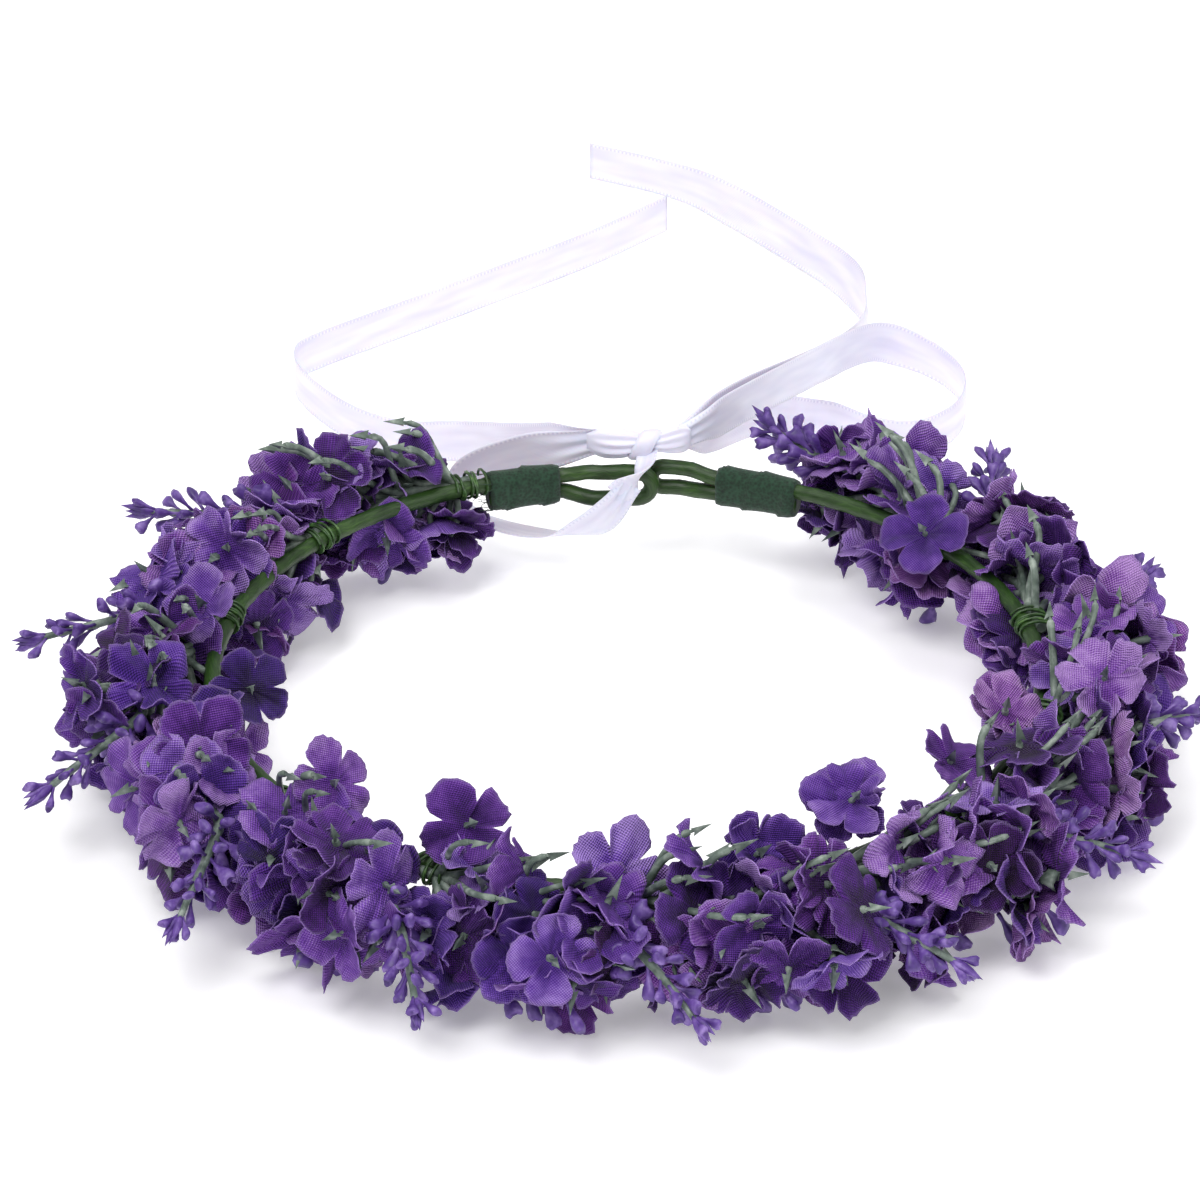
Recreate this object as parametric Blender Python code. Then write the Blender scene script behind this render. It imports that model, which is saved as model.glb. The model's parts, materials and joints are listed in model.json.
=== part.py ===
"""Flower crown: a taped wire hoop with a loop at each back end, lavender sprigs round it and a ribbon tie.

Metres, +Z up. The crown lies on a table with its front towards -Y and its tied back towards +Y.
Angles round the hoop are in degrees: 0 is the front, +90 the right (+X), 180 the back.
"""

import math

import bmesh
import bpy
from mathutils import Matrix, Vector

MM = 0.001
GAP = 0.3 * MM  # the air left between pieces that touch
SHARP_EDGE = 40  # degrees between faces above which an edge stays crisp

# Hoop: a steel wire in floral tape, doubled back into a long narrow loop at each end
HOOP_RADIUS = 91 * MM
HOOP_HEIGHT = 26.5 * MM
WIRE_RADIUS = 0.8 * MM
TAPE_RADIUS = 1.8 * MM
HOOP_STEP = 4.0
LOOP_STEP = 2.0
LEFT_TIP, RIGHT_TIP = -185.0, 177.5
LEFT_LOOP_HALF, RIGHT_LOOP_HALF = 3.4 * MM, 2.6 * MM
LOOP_SIDESTEP = 2.2 * MM  # the loops pass each other, one in front and one behind
STRANDS_PART, SIDESTEP_SPAN = 5.0, 6.0  # how far past its sleeve a loop takes to open and to step aside
BOUND_HALF = TAPE_RADIUS + GAP / 2  # half the distance between the two strands inside a sleeve

# Cloth sleeves that bind each doubled-back end
LEFT_SLEEVE = (-170.2, -159.8)
RIGHT_SLEEVE = (154.5, 166.5)
SLEEVE_WALL = 1.0 * MM

# Sprigs: stem, floret cluster, bud spike and binding wire, one after the other round the hoop
SPRIG_STEP = 26.0
FIRST_SPRIG = -156.0
MOVING_SPRIG = 6  # from this index on, the sprigs are bound to the right half
SPLIT_BEFORE = 2.75  # how far ahead of the first moving sprig the hoop is split
STEM_RADIUS = 1.3 * MM
STEM_START = -2.2
STEM_END = 23.6
STEM_SPREAD, SPREAD_FROM = 13.0 * MM, 2.0
SLOT_CLEARANCE = 0.6 * MM
CLUSTER_START, CLUSTER_SPAN = 1.5, 21.5
# along the cluster: share of its span, inner and outer reach from the hoop, height above and depth below it
CLUSTER_OUTLINE = (
    (0.00, -4.5, 10.0, 7.0, 7.0),
    (0.10, -5.5, 16.0, 13.0, 13.0),
    (0.28, -7.0, 24.0, 19.0, 20.0),
    (0.45, -8.0, 31.0, 22.0, 28.0),
    (0.72, -8.0, 32.0, 22.0, 28.0),
    (0.88, -6.5, 29.0, 19.0, 22.0),
    (1.00, -4.5, 22.0, 12.0, 12.0),
)
# how far each bud spike reaches out from the hoop, and how far its tip drops
SPIKE_REACH = (41, 42, 42, 42, 40, 40, 38, 36, 34, 34, 32, 22)
SPIKE_DROP = (0, 2, 6, 8, 9, 9, 8, 7, 4, 0, -4, -3)
SPIKE_SPAN = 9.0
SPIKE_RADIUS, SPIKE_TAPER, SPIKE_RINGS = 1.5 * MM, 0.63, 8
BUD_LENGTH, BUD_RINGS = 3.2 * MM, (1, 3, 5)
BINDING_RADIUS = 0.35 * MM
BINDING_TURNS = 2.5
BINDING_PITCH = 1.1 * MM
BINDING_SAG = 0.5 * MM  # how far the bound pair is pressed together
BINDING_SHIFT = -0.3

# Ribbon: satin, worked as four strips from one knot over the loops
RIBBON_WIDTH = 10.0 * MM
RIBBON_THICK = 0.6 * MM
RIBBON_STEP = 4.5 * MM
KNOT_SIZE = Vector((8.5, 4.6, 3.2)) * MM
KNOT_ASIDE = 3.0 * MM
# each route: x, y, z and the lean of the ribbon's upper edge, in mm and degrees from the hoop's centre
TAIL_LEFT = (
    (-7, 93, 34.5, 0), (-15, 101, 29, 0), (-27, 119, 19, 10), (-39, 136, 10.5, 5), (-52, 146, 5.6, 0),
    (-63, 152.5, 5.4, 0), (-72, 163, 5.4, 0), (-79, 176, 5.4, 0), (-79.5, 186, 5.4, 0),
    (-74, 192.5, 5.4, 0), (-67, 198.5, 5.4, 0), (-54, 209, 5.4, 0), (-31, 228, 5.4, 0),
    (-8, 247.5, 5.4, 0), (11, 267, 5.4, 0),
)
TAIL_RIGHT = (
    (13.5, 93, 35.5, 0), (19, 103, 34.5, 0), (28, 121, 30.5, 0), (43, 150, 22, 0), (53, 176, 13.5, 0),
    (58.6, 199, 7, 0), (59.6, 214, 5.4, 0), (57, 227, 5.2, 25), (52, 239, 4.6, 40),
    (44.5, 250, 4.6, 40), (36, 262, 4.6, 42), (28, 272, 4.8, 35), (19, 281, 5.3, 12),
    (8, 288.5, 5.4, 0), (-8.5, 297, 5.4, 0),
)
BOW_RIGHT = (
    (13.5, 90, 35.5, 0), (19, 98, 35.5, 0), (28, 115, 32, 0), (42, 142, 25.5, 0), (52.5, 167, 18, 0),
    (61, 182, 13, 0), (69, 187.5, 8, 0), (76.5, 184.5, 5.6, 0), (81.2, 175, 5.4, 0),
    (82, 166, 5.4, 0), (79.5, 156.5, 5.4, 0), (73, 148.8, 5.4, 0), (66, 146.6, 5.4, 0),
    (58, 149.5, 5.4, 0), (50, 156, 5.4, 0), (41, 156, 6.5, 0), (31, 140, 15, 0), (21, 115, 24.5, 0),
    (14, 98.5, 32, 0),
)
BOW_LEFT = (
    (-7, 90.5, 35.5, 20), (-14, 95, 31, 10), (-24, 97, 28, 0), (-33, 98, 24, 0), (-37, 98, 19, 20),
    (-35, 96, 13.5, 60), (-27, 92, 11.5, 75), (-16, 87, 12.5, 70), (-8, 83, 17, 40), (-3, 81.5, 22.5, 20),
    (1, 81.5, 28.5, 10),
)


def on_ring(angle, reach=0.0, height=0.0):
    """The point at this angle, this far outside the hoop and above its height."""
    turn = math.radians(angle)
    radius = HOOP_RADIUS + reach
    return Vector((radius * math.sin(turn), -radius * math.cos(turn), HOOP_HEIGHT + height))


def arc_degrees(length):
    """The angle that a length takes up along the hoop."""
    return math.degrees(length / HOOP_RADIUS)


def smooth(share):
    share = min(max(share, 0.0), 1.0)
    return share * share * (3 - 2 * share)


def material(name, colour, roughness, metallic=0.0):
    made = bpy.data.materials.new(name)
    made.use_nodes = True
    shader = made.node_tree.nodes["Principled BSDF"]
    shader.inputs["Base Color"].default_value = (*colour, 1.0)
    shader.inputs["Roughness"].default_value = roughness
    shader.inputs["Metallic"].default_value = metallic
    return made


def frames_along(path):
    """A tangent, a normal and a binormal at each point, turned as little as possible from one to the next."""
    ahead = [
        (path[min(i + 1, len(path) - 1)] - path[max(i - 1, 0)]).normalized() for i in range(len(path))
    ]
    normal = ahead[0].orthogonal().normalized()
    frames = []
    for i, tangent in enumerate(ahead):
        if i:
            normal = ahead[i - 1].rotation_difference(tangent) @ normal
        normal = (normal - tangent * normal.dot(tangent)).normalized()
        frames.append((tangent, normal, tangent.cross(normal)))
    return frames


def circles_along(path, radius, sides):
    """One ring of points round each point of the path; radius may be one value or one for each point."""
    radii = radius if isinstance(radius, (list, tuple)) else [radius] * len(path)
    rings = []
    for point, (_, normal, binormal), size in zip(path, frames_along(path), radii):
        turns = [2 * math.pi * k / sides for k in range(sides)]
        rings.append([point + size * (math.cos(t) * normal + math.sin(t) * binormal) for t in turns])
    return rings


def mesh_between(name, outer, inner=None):
    """A closed mesh through rings of points: solid with end caps, or a tube where inner is given."""
    made = bmesh.new()
    walls = [[[made.verts.new(p) for p in ring] for ring in rings] for rings in (outer, inner) if rings]
    count = len(outer[0])
    for rings in walls:
        for near, far in zip(rings, rings[1:]):
            for k in range(count):
                made.faces.new((near[k], near[(k + 1) % count], far[(k + 1) % count], far[k]))
    for end in (0, -1):
        if inner:
            out_ring, in_ring = walls[0][end], walls[1][end]
            for k in range(count):
                after = (k + 1) % count
                made.faces.new((out_ring[k], out_ring[after], in_ring[after], in_ring[k]))
        else:
            made.faces.new(walls[0][end])
    bmesh.ops.recalc_face_normals(made, faces=made.faces)
    mesh = bpy.data.meshes.new(name)
    made.to_mesh(mesh)
    made.free()
    return mesh


def node(name, mesh, finish, parent, turn=0.0):
    """A named object that holds this mesh, turned about the hoop's axis."""
    made = bpy.data.objects.new(name, mesh)
    if not mesh.materials:
        mesh.materials.append(finish)
    made.parent = parent
    made.matrix_parent_inverse = Matrix.Translation(-parent.location)
    made.rotation_euler.z = math.radians(turn)
    bpy.context.scene.collection.objects.link(made)
    mesh.shade_smooth()
    mesh.set_sharp_from_angle(angle=math.radians(SHARP_EDGE))


def strand_height(angle, side, sleeve_out, loop_half, towards):
    """The height of the upper (side 1) or lower (side -1) strand: bound up to the sleeve, then spread."""
    past = towards * (angle - sleeve_out)
    half = BOUND_HALF + (loop_half - BOUND_HALF) * smooth(past / STRANDS_PART)
    return side * half - BOUND_HALF


def steps(start, end, size):
    """Evenly spaced values from start to end, no further apart than size."""
    count = max(1, math.ceil(abs(end - start) / size))
    return [start + (end - start) * k / count for k in range(count + 1)]


def hoop_path(start, sleeve_in, sleeve_out, tip, loop_half, sidestep):
    """The wire of one half of the hoop: round from the front, out to the loop's tip and back."""
    towards = 1 if tip > start else -1
    turn_at = tip - towards * arc_degrees(loop_half + TAPE_RADIUS)

    def at(angle, side):
        aside = sidestep * smooth(towards * (angle - sleeve_out) / SIDESTEP_SPAN)
        return on_ring(angle, aside, strand_height(angle, side, sleeve_out, loop_half, towards))

    out = steps(start, sleeve_in, HOOP_STEP) + steps(sleeve_in, turn_at, LOOP_STEP)[1:]
    path = [at(angle, 1) for angle in out]
    for k in range(1, 6):
        turn = math.pi * k / 6
        angle = turn_at + towards * arc_degrees(loop_half * math.sin(turn))
        path.append(on_ring(angle, sidestep, loop_half * math.cos(turn) - BOUND_HALF))
    end = sleeve_in + towards * arc_degrees(GAP)
    path += [at(angle, -1) for angle in steps(turn_at, end, LOOP_STEP)]
    return path


def stadium(centre_reach, half_length, radius, sides):
    """Points of a slot-shaped ring, as (reach, height), starting half a step past its outer end."""
    points = []
    for k in range(sides):
        turn = 2 * math.pi * (k + 0.5) / sides
        shift = math.copysign(half_length, math.cos(turn))
        points.append((centre_reach + shift + radius * math.cos(turn), radius * math.sin(turn)))
    return points


def hoop_half(side, start, sleeve, tip, loop_half, sidestep, finishes, parent):
    """One half of the hoop: its wire, its tape and its cloth sleeve."""
    sleeve_in, sleeve_out = sleeve if side == "right" else sleeve[::-1]
    path = hoop_path(start, sleeve_in, sleeve_out, tip, loop_half, sidestep)
    wire = mesh_between("hoop_wire", circles_along(path, WIRE_RADIUS, 6))
    tape = mesh_between(
        "hoop_tape", circles_along(path, TAPE_RADIUS, 8), circles_along(path, WIRE_RADIUS + GAP, 8)
    )
    node("hoop_wire_" + side, wire, finishes["wire"], parent)
    node("hoop_tape_" + side, tape, finishes["tape"], parent)

    inner = TAPE_RADIUS / math.cos(math.pi / 12) + GAP
    rings = []
    for radius in (inner + SLEEVE_WALL, inner):
        section = stadium(-BOUND_HALF, BOUND_HALF, radius, 12)
        rings.append([
            [on_ring(angle, across, along) for along, across in section]
            for angle in steps(sleeve[0], sleeve[1], HOOP_STEP)
        ])
    node("loop_sleeve_" + side, mesh_between("loop_sleeve", *rings), finishes["sleeve"], parent)


def stem_reach(angle):
    """How far outside the hoop a stem runs: beside the tape at its base, spreading outwards."""
    beside = TAPE_RADIUS + GAP + STEM_RADIUS
    return beside + STEM_SPREAD * smooth((angle - SPREAD_FROM) / STEM_END)


def stem_mesh():
    path = [on_ring(angle, stem_reach(angle)) for angle in steps(STEM_START, STEM_END, 3.0)]
    return mesh_between("sprig_stem", circles_along(path, STEM_RADIUS, 8))


def cluster_mesh():
    """The florets of one sprig as one soft block, slotted so that the hoop and the stem run through it."""
    sides = 12
    outer, inner = [], []
    slot = TAPE_RADIUS + SLOT_CLEARANCE
    for share, near, far, above, below in CLUSTER_OUTLINE:
        angle = CLUSTER_START + CLUSTER_SPAN * share
        centre, half = (near + far) / 2 * MM, (far - near) / 2 * MM
        ring = []
        for k in range(sides):
            turn = 2 * math.pi * (k + 0.5) / sides
            height = (above if math.sin(turn) > 0 else below) * MM * math.sin(turn)
            ring.append(on_ring(angle, centre + half * math.cos(turn), max(height, -HOOP_HEIGHT)))
        outer.append(ring)
        reach = stem_reach(angle) + STEM_RADIUS - TAPE_RADIUS
        inner.append([on_ring(angle, *point) for point in stadium(reach / 2, reach / 2, slot, sides)])
    return mesh_between("florets", outer, inner)


def spike_mesh(reach, drop):
    """The bud spike past the last florets: a tapering core with a bud pulled out of every other facet."""
    start = STEM_END + arc_degrees(GAP + SPIKE_RADIUS / 2)
    path = []
    for k in range(SPIKE_RINGS):
        share = k / (SPIKE_RINGS - 1)
        out = stem_reach(STEM_END) + (reach * MM - stem_reach(STEM_END)) * share**1.5
        path.append(on_ring(start + SPIKE_SPAN * share, out, -drop * MM * share * share))
    radii = [SPIKE_RADIUS * (1 - SPIKE_TAPER * k / (SPIKE_RINGS - 1)) for k in range(SPIKE_RINGS)]
    mesh = mesh_between("bud_spike", circles_along(path, radii, 6))
    made = bmesh.new()
    made.from_mesh(mesh)
    made.faces.ensure_lookup_table()
    picked = [made.faces[ring * 6 + 2 * k + ring // 2 % 2] for ring in BUD_RINGS for k in range(3)]
    for face in picked:
        for share, scale in ((0.35, 0.8), (0.65, 1.5)):
            face.normal_update()
            step = face.normal * BUD_LENGTH * share
            face = bmesh.ops.extrude_discrete_faces(made, faces=[face])["faces"][0]
            centre = face.calc_center_median()
            for vert in face.verts:
                vert.co = centre + step + (vert.co - centre) * scale
    made.normal_update()
    made.to_mesh(mesh)
    made.free()
    return mesh


def binding_mesh():
    """The fine wire that ties a stem's base to the hoop, wound round both."""
    apart = (TAPE_RADIUS + GAP + STEM_RADIUS - BINDING_SAG) / 2
    section = stadium(apart, apart, TAPE_RADIUS + 2 * GAP + BINDING_RADIUS, 8)
    start = BINDING_SHIFT - arc_degrees(BINDING_TURNS * BINDING_PITCH / 2)
    path = []
    for k in range(int(BINDING_TURNS * 8) + 1):
        reach, height = section[k % 8]
        path.append(on_ring(start + arc_degrees(BINDING_PITCH * k / 8), reach, height))
    return mesh_between("binding_wire", circles_along(path, BINDING_RADIUS, 4))


def smooth_route(route):
    """Points a step apart on a smooth curve through the route's points, each with its lean."""
    points = [Vector(p) for p in route]
    points = [points[0] * 2 - points[1]] + points + [points[-1] * 2 - points[-2]]
    made = []
    for a, b, c, d in zip(points, points[1:], points[2:], points[3:]):
        count = max(1, round((c - b).to_3d().length * MM / RIBBON_STEP))
        for k in range(count):
            t = k / count
            made.append(
                0.5 * (2 * b + (c - a) * t + (2 * a - 5 * b + 4 * c - d) * t**2
                       + (3 * b - a - 3 * c + d) * t**3)
            )
    return made + [points[-2]]


def ribbon_strip(name, route, finish, parent):
    """A flat strip of ribbon that stands on its edge along the route and leans where the route says."""
    points = smooth_route(route)
    path = [Vector((p.x, p.y, p.z)) * MM for p in points]
    rings = []
    for (tangent, _, _), point, place in zip(frames_along(path), points, path):
        across = tangent.cross(Vector((0, 0, 1))).normalized()
        upright = across.cross(tangent).normalized()
        lean = math.radians(point.w)
        wide = (math.cos(lean) * upright + math.sin(lean) * across) * RIBBON_WIDTH / 2
        thick = (math.cos(lean) * across - math.sin(lean) * upright) * RIBBON_THICK / 2
        rings.append([place + wide + thick, place - wide + thick, place - wide - thick, place + wide - thick])
    node(name, mesh_between(name, rings), finish, parent)
    length = sum((b - a).length for a, b in zip(path, path[1:]))
    print(f"{name}: {length:.3f} m")


def knot_mesh():
    """The ribbon's knot, a rounded lump over the two loops."""
    made = bmesh.new()
    bmesh.ops.create_uvsphere(made, u_segments=12, v_segments=8, radius=1.0)
    middle = on_ring(180, 0, LEFT_LOOP_HALF - BOUND_HALF + TAPE_RADIUS + 2 * GAP + KNOT_SIZE.z)
    bmesh.ops.scale(made, vec=KNOT_SIZE, verts=made.verts)
    bmesh.ops.translate(made, vec=middle + Vector((KNOT_ASIDE, 0, 0)), verts=made.verts)
    mesh = bpy.data.meshes.new("ribbon_knot")
    made.to_mesh(mesh)
    made.free()
    return mesh


def empty(name, location, parent=None):
    made = bpy.data.objects.new(name, None)
    made.location = location
    made.parent = parent
    bpy.context.scene.collection.objects.link(made)
    return made


def stand_on_origin(crown, tie_names):
    """Moves the crown so that the middle of its outline, the ribbon left out, stands on the origin."""
    bpy.context.view_layer.update()
    corners = [
        made.matrix_world @ vert.co
        for made in bpy.data.objects
        if made.type == "MESH" and made.name not in tie_names
        for vert in made.data.vertices
    ]
    low = Vector([min(p[i] for p in corners) for i in range(3)])
    high = Vector([max(p[i] for p in corners) for i in range(3)])
    crown.location -= Vector(((low.x + high.x) / 2, (low.y + high.y) / 2, low.z))
    print("hoop centre at", [round(v, 5) for v in crown.location])
    print("crown size", [round(v, 5) for v in high - low])


def build():
    for old in list(bpy.data.objects):
        bpy.data.objects.remove(old)

    finishes = {
        "wire": material("steel_wire", (0.42, 0.42, 0.42), 0.35, 1.0),
        "tape": material("floral_tape", (0.045, 0.13, 0.025), 0.6),
        "sleeve": material("cloth_tape", (0.013, 0.07, 0.03), 0.85),
        "stem": material("stem_plastic", (0.13, 0.18, 0.15), 0.5),
        "floret": material("floret_fabric", (0.12, 0.045, 0.33), 0.85),
        "bud": material("bud_plastic", (0.23, 0.12, 0.42), 0.5),
        "binding": material("binding_wire", (0.05, 0.12, 0.03), 0.5),
        "ribbon": material("satin_ribbon", (0.86, 0.86, 0.93), 0.4),
    }
    crown = empty("crown", (0, 0, 0))
    split = FIRST_SPRIG + MOVING_SPRIG * SPRIG_STEP - SPLIT_BEFORE
    hinge = empty("right_half_hinge", on_ring(split), crown)
    half_gap = arc_degrees(GAP / 2)

    left_loop = (LEFT_SLEEVE, LEFT_TIP, LEFT_LOOP_HALF, -LOOP_SIDESTEP)
    right_loop = (RIGHT_SLEEVE, RIGHT_TIP, RIGHT_LOOP_HALF, LOOP_SIDESTEP)
    hoop_half("left", split - half_gap, *left_loop, finishes, crown)
    hoop_half("right", split + half_gap, *right_loop, finishes, hinge)

    stem, cluster, binding = stem_mesh(), cluster_mesh(), binding_mesh()
    for index, (reach, drop) in enumerate(zip(SPIKE_REACH, SPIKE_DROP)):
        turn = FIRST_SPRIG + index * SPRIG_STEP
        parent = hinge if index >= MOVING_SPRIG else crown
        number = f"_{index + 1:02d}"
        node("sprig_stem" + number, stem, finishes["stem"], parent, turn)
        node("florets" + number, cluster, finishes["floret"], parent, turn)
        node("bud_spike" + number, spike_mesh(reach, drop), finishes["bud"], parent, turn)
        node("binding_wire" + number, binding, finishes["binding"], parent, turn)

    node("ribbon_knot", knot_mesh(), finishes["ribbon"], crown)
    routes = {
        "ribbon_tail_left": TAIL_LEFT,
        "ribbon_tail_right": TAIL_RIGHT,
        "ribbon_bow_right": BOW_RIGHT,
        "ribbon_bow_left": BOW_LEFT,
    }
    for name, route in routes.items():
        ribbon_strip(name, route, finishes["ribbon"], crown)

    stand_on_origin(crown, {"ribbon_knot", *routes})
    bpy.context.view_layer.update()
    print("hinge at", [round(v, 5) for v in hinge.matrix_world.translation])


build()
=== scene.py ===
# %% [markdown]
# # A lavender flower crown
# The crown is a springy wire hoop wrapped in green floral tape. It is open at the back, and each end is
# doubled back into a loop for the ribbon. Sprigs of artificial lavender are bound round it with fine green
# wire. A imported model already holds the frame: where the hoop, the sprigs and the ribbon are, and how the
# hoop opens. This lesson makes what the eye sees round that frame, so every place below is worked out from
# it.

# %% Load the frame
import json
import math
import random

import bmesh
import bpy
from mathutils import Euler, Matrix, Vector


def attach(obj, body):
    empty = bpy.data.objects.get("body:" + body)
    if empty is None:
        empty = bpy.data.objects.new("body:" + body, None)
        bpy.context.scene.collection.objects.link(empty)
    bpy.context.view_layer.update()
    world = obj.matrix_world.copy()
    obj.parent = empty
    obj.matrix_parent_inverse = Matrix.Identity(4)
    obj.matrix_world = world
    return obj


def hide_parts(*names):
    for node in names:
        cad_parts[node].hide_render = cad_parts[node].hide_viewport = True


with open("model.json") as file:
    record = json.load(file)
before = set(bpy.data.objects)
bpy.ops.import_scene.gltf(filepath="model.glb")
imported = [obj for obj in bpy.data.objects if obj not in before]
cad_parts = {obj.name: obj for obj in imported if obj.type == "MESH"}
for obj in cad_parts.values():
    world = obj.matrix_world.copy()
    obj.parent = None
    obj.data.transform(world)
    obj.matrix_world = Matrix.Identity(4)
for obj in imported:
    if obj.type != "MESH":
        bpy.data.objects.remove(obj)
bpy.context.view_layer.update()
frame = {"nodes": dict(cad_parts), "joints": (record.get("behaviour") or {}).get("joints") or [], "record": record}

MM = 0.001

# %% [markdown]
# ## Places round the hoop
# Everything sits on or round one circle, so places are easiest to give as an angle round the hoop, a reach
# outwards from its wire and a height above it. The record gives the middle of the head opening and the
# joint, which lies on the wire at the front. The two together give the hoop's centre, height and radius.

# %% Hoop coordinates
record = frame["record"]
opening = next(mount for mount in record["mounts"] if mount["name"] == "head_opening")
joint = frame["joints"][0]
HINGE = Vector(joint["pos_m"])
CENTRE = Vector((opening["pos_m"][0], opening["pos_m"][1], 0))
HOOP_HEIGHT = HINGE.z
HOOP_RADIUS = (HINGE - CENTRE).to_2d().length

def on_ring(angle, reach=0.0, height=0.0):
    """The point at this angle (0 front, 90 right, 180 back), this far outside the wire and above it."""
    turn = math.radians(angle)
    radius = HOOP_RADIUS + reach
    return CENTRE + Vector((radius * math.sin(turn), -radius * math.cos(turn), HOOP_HEIGHT + height))

def outwards(angle):
    """The level direction away from the hoop's middle at this angle."""
    turn = math.radians(angle)
    return Vector((math.sin(turn), -math.cos(turn), 0))

def along(angle):
    """The direction round the hoop, the way the sprigs point."""
    turn = math.radians(angle)
    return Vector((math.cos(turn), math.sin(turn), 0))

def arc_degrees(length):
    return math.degrees(length / HOOP_RADIUS)

def smooth(share):
    share = min(max(share, 0.0), 1.0)
    return share * share * (3 - 2 * share)

print(f"hoop {2000 * HOOP_RADIUS:.0f} mm across the wire, {1000 * HOOP_HEIGHT:.0f} mm above the table")

# %% [markdown]
# ## Camera
# A crown like this is shot from a little above with a long lens, so that its far side hardly shrinks. The
# camera comes first, because the loose ribbon has to lie where the camera sees it.

# %% Camera
CAMERA_DISTANCE = 1.6
CAMERA_ELEVATION = 29.6
CAMERA_LENS = 218.4
AIM = CENTRE + Vector((-5.9 * MM, 8.8 * MM, HOOP_HEIGHT + 13.0 * MM))

camera = bpy.data.objects.new("camera", bpy.data.cameras.new("camera"))
bpy.context.scene.collection.objects.link(camera)
tilt = math.radians(CAMERA_ELEVATION)
camera.location = AIM + CAMERA_DISTANCE * Vector((0, -math.cos(tilt), math.sin(tilt)))
camera.rotation_euler = (math.pi / 2 - tilt, 0, 0)
camera.data.lens = CAMERA_LENS
bpy.context.scene.camera = camera
print("camera at", [round(v, 3) for v in camera.location])

# %% [markdown]
# ## Node trees and colours
# Materials and Geometry Nodes trees are both node trees, so one small function can add a node to either,
# with its settings and links. Colours are written as the hex values a dyer or a paint chart would give, and
# one function turns them to the linear values that shaders work in. A finish is one Principled shader, and
# its pattern is a function that adds nodes and says which inputs they feed.

# %% Small helpers
def colour(code):
    """The linear RGBA of an sRGB hex value."""
    parts = [int(code[i : i + 2], 16) / 255 for i in (1, 3, 5)]
    return (*[p / 12.92 if p <= 0.04045 else ((p + 0.055) / 1.055) ** 2.4 for p in parts], 1.0)

def out_of(source):
    """A node's first output; anything else is passed on as it is."""
    return source.outputs[0] if isinstance(source, bpy.types.Node) else source

def add(tree, kind, inputs=None, stops=(), **settings):
    """Adds one node. An input takes a value, a socket or a node; stops are a colour ramp's (place, hex)."""
    made = tree.nodes.new(kind)
    for name, value in settings.items():
        setattr(made, name, value)
    for key, value in (inputs or {}).items():
        source = out_of(value)
        if isinstance(source, bpy.types.NodeSocket):
            tree.links.new(source, made.inputs[key])
        else:
            made.inputs[key].default_value = value
    if stops:
        elements = made.color_ramp.elements
        while len(elements) < len(stops):
            elements.new(0.5)
        for element, (place, code) in zip(elements, stops):
            element.position = place
            element.color = colour(code)
    return made

def finish(name, pattern, **values):
    """A Principled material with these values; pattern(tree) gives what feeds its other inputs."""
    made = bpy.data.materials.new(name)
    made.use_nodes = True
    shader = made.node_tree.nodes["Principled BSDF"]
    for key, value in values.items():
        shader.inputs[key.replace("_", " ")].default_value = value
    for key, source in pattern(made.node_tree).items():
        made.node_tree.links.new(out_of(source), shader.inputs[key])
    return made

def mottled(scale, detail, stops):
    """The plainest pattern: soft patches between a few tones, about scale of them to the metre."""

    def pattern(tree):
        place = add(tree, "ShaderNodeTexCoord").outputs["Object"]
        patches = add(tree, "ShaderNodeTexNoise", {"Vector": place, "Scale": scale, "Detail": detail})
        return {"Base Color": add(tree, "ShaderNodeValToRGB", {0: patches}, stops=stops)}

    return pattern

# %% [markdown]
# ## Plain steel wire
# The wire inside the tape is hard to see, but it shows at a loop's cut end. It is drawn through dies, which
# leaves fine lines along it and a grey shine.

# %% Steel wire
steel_tones = [(0.3, "#8b8d8f"), (0.7, "#b6b8b9")]
steel = finish("drawn_steel_wire", mottled(900.0, 2.0, steel_tones), Metallic=1.0, Roughness=0.35)
for side in ("left", "right"):
    wire = frame["nodes"]["hoop_wire_" + side].data
    wire.materials.clear()
    wire.materials.append(steel)
print("steel on both hoop wires")
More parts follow.
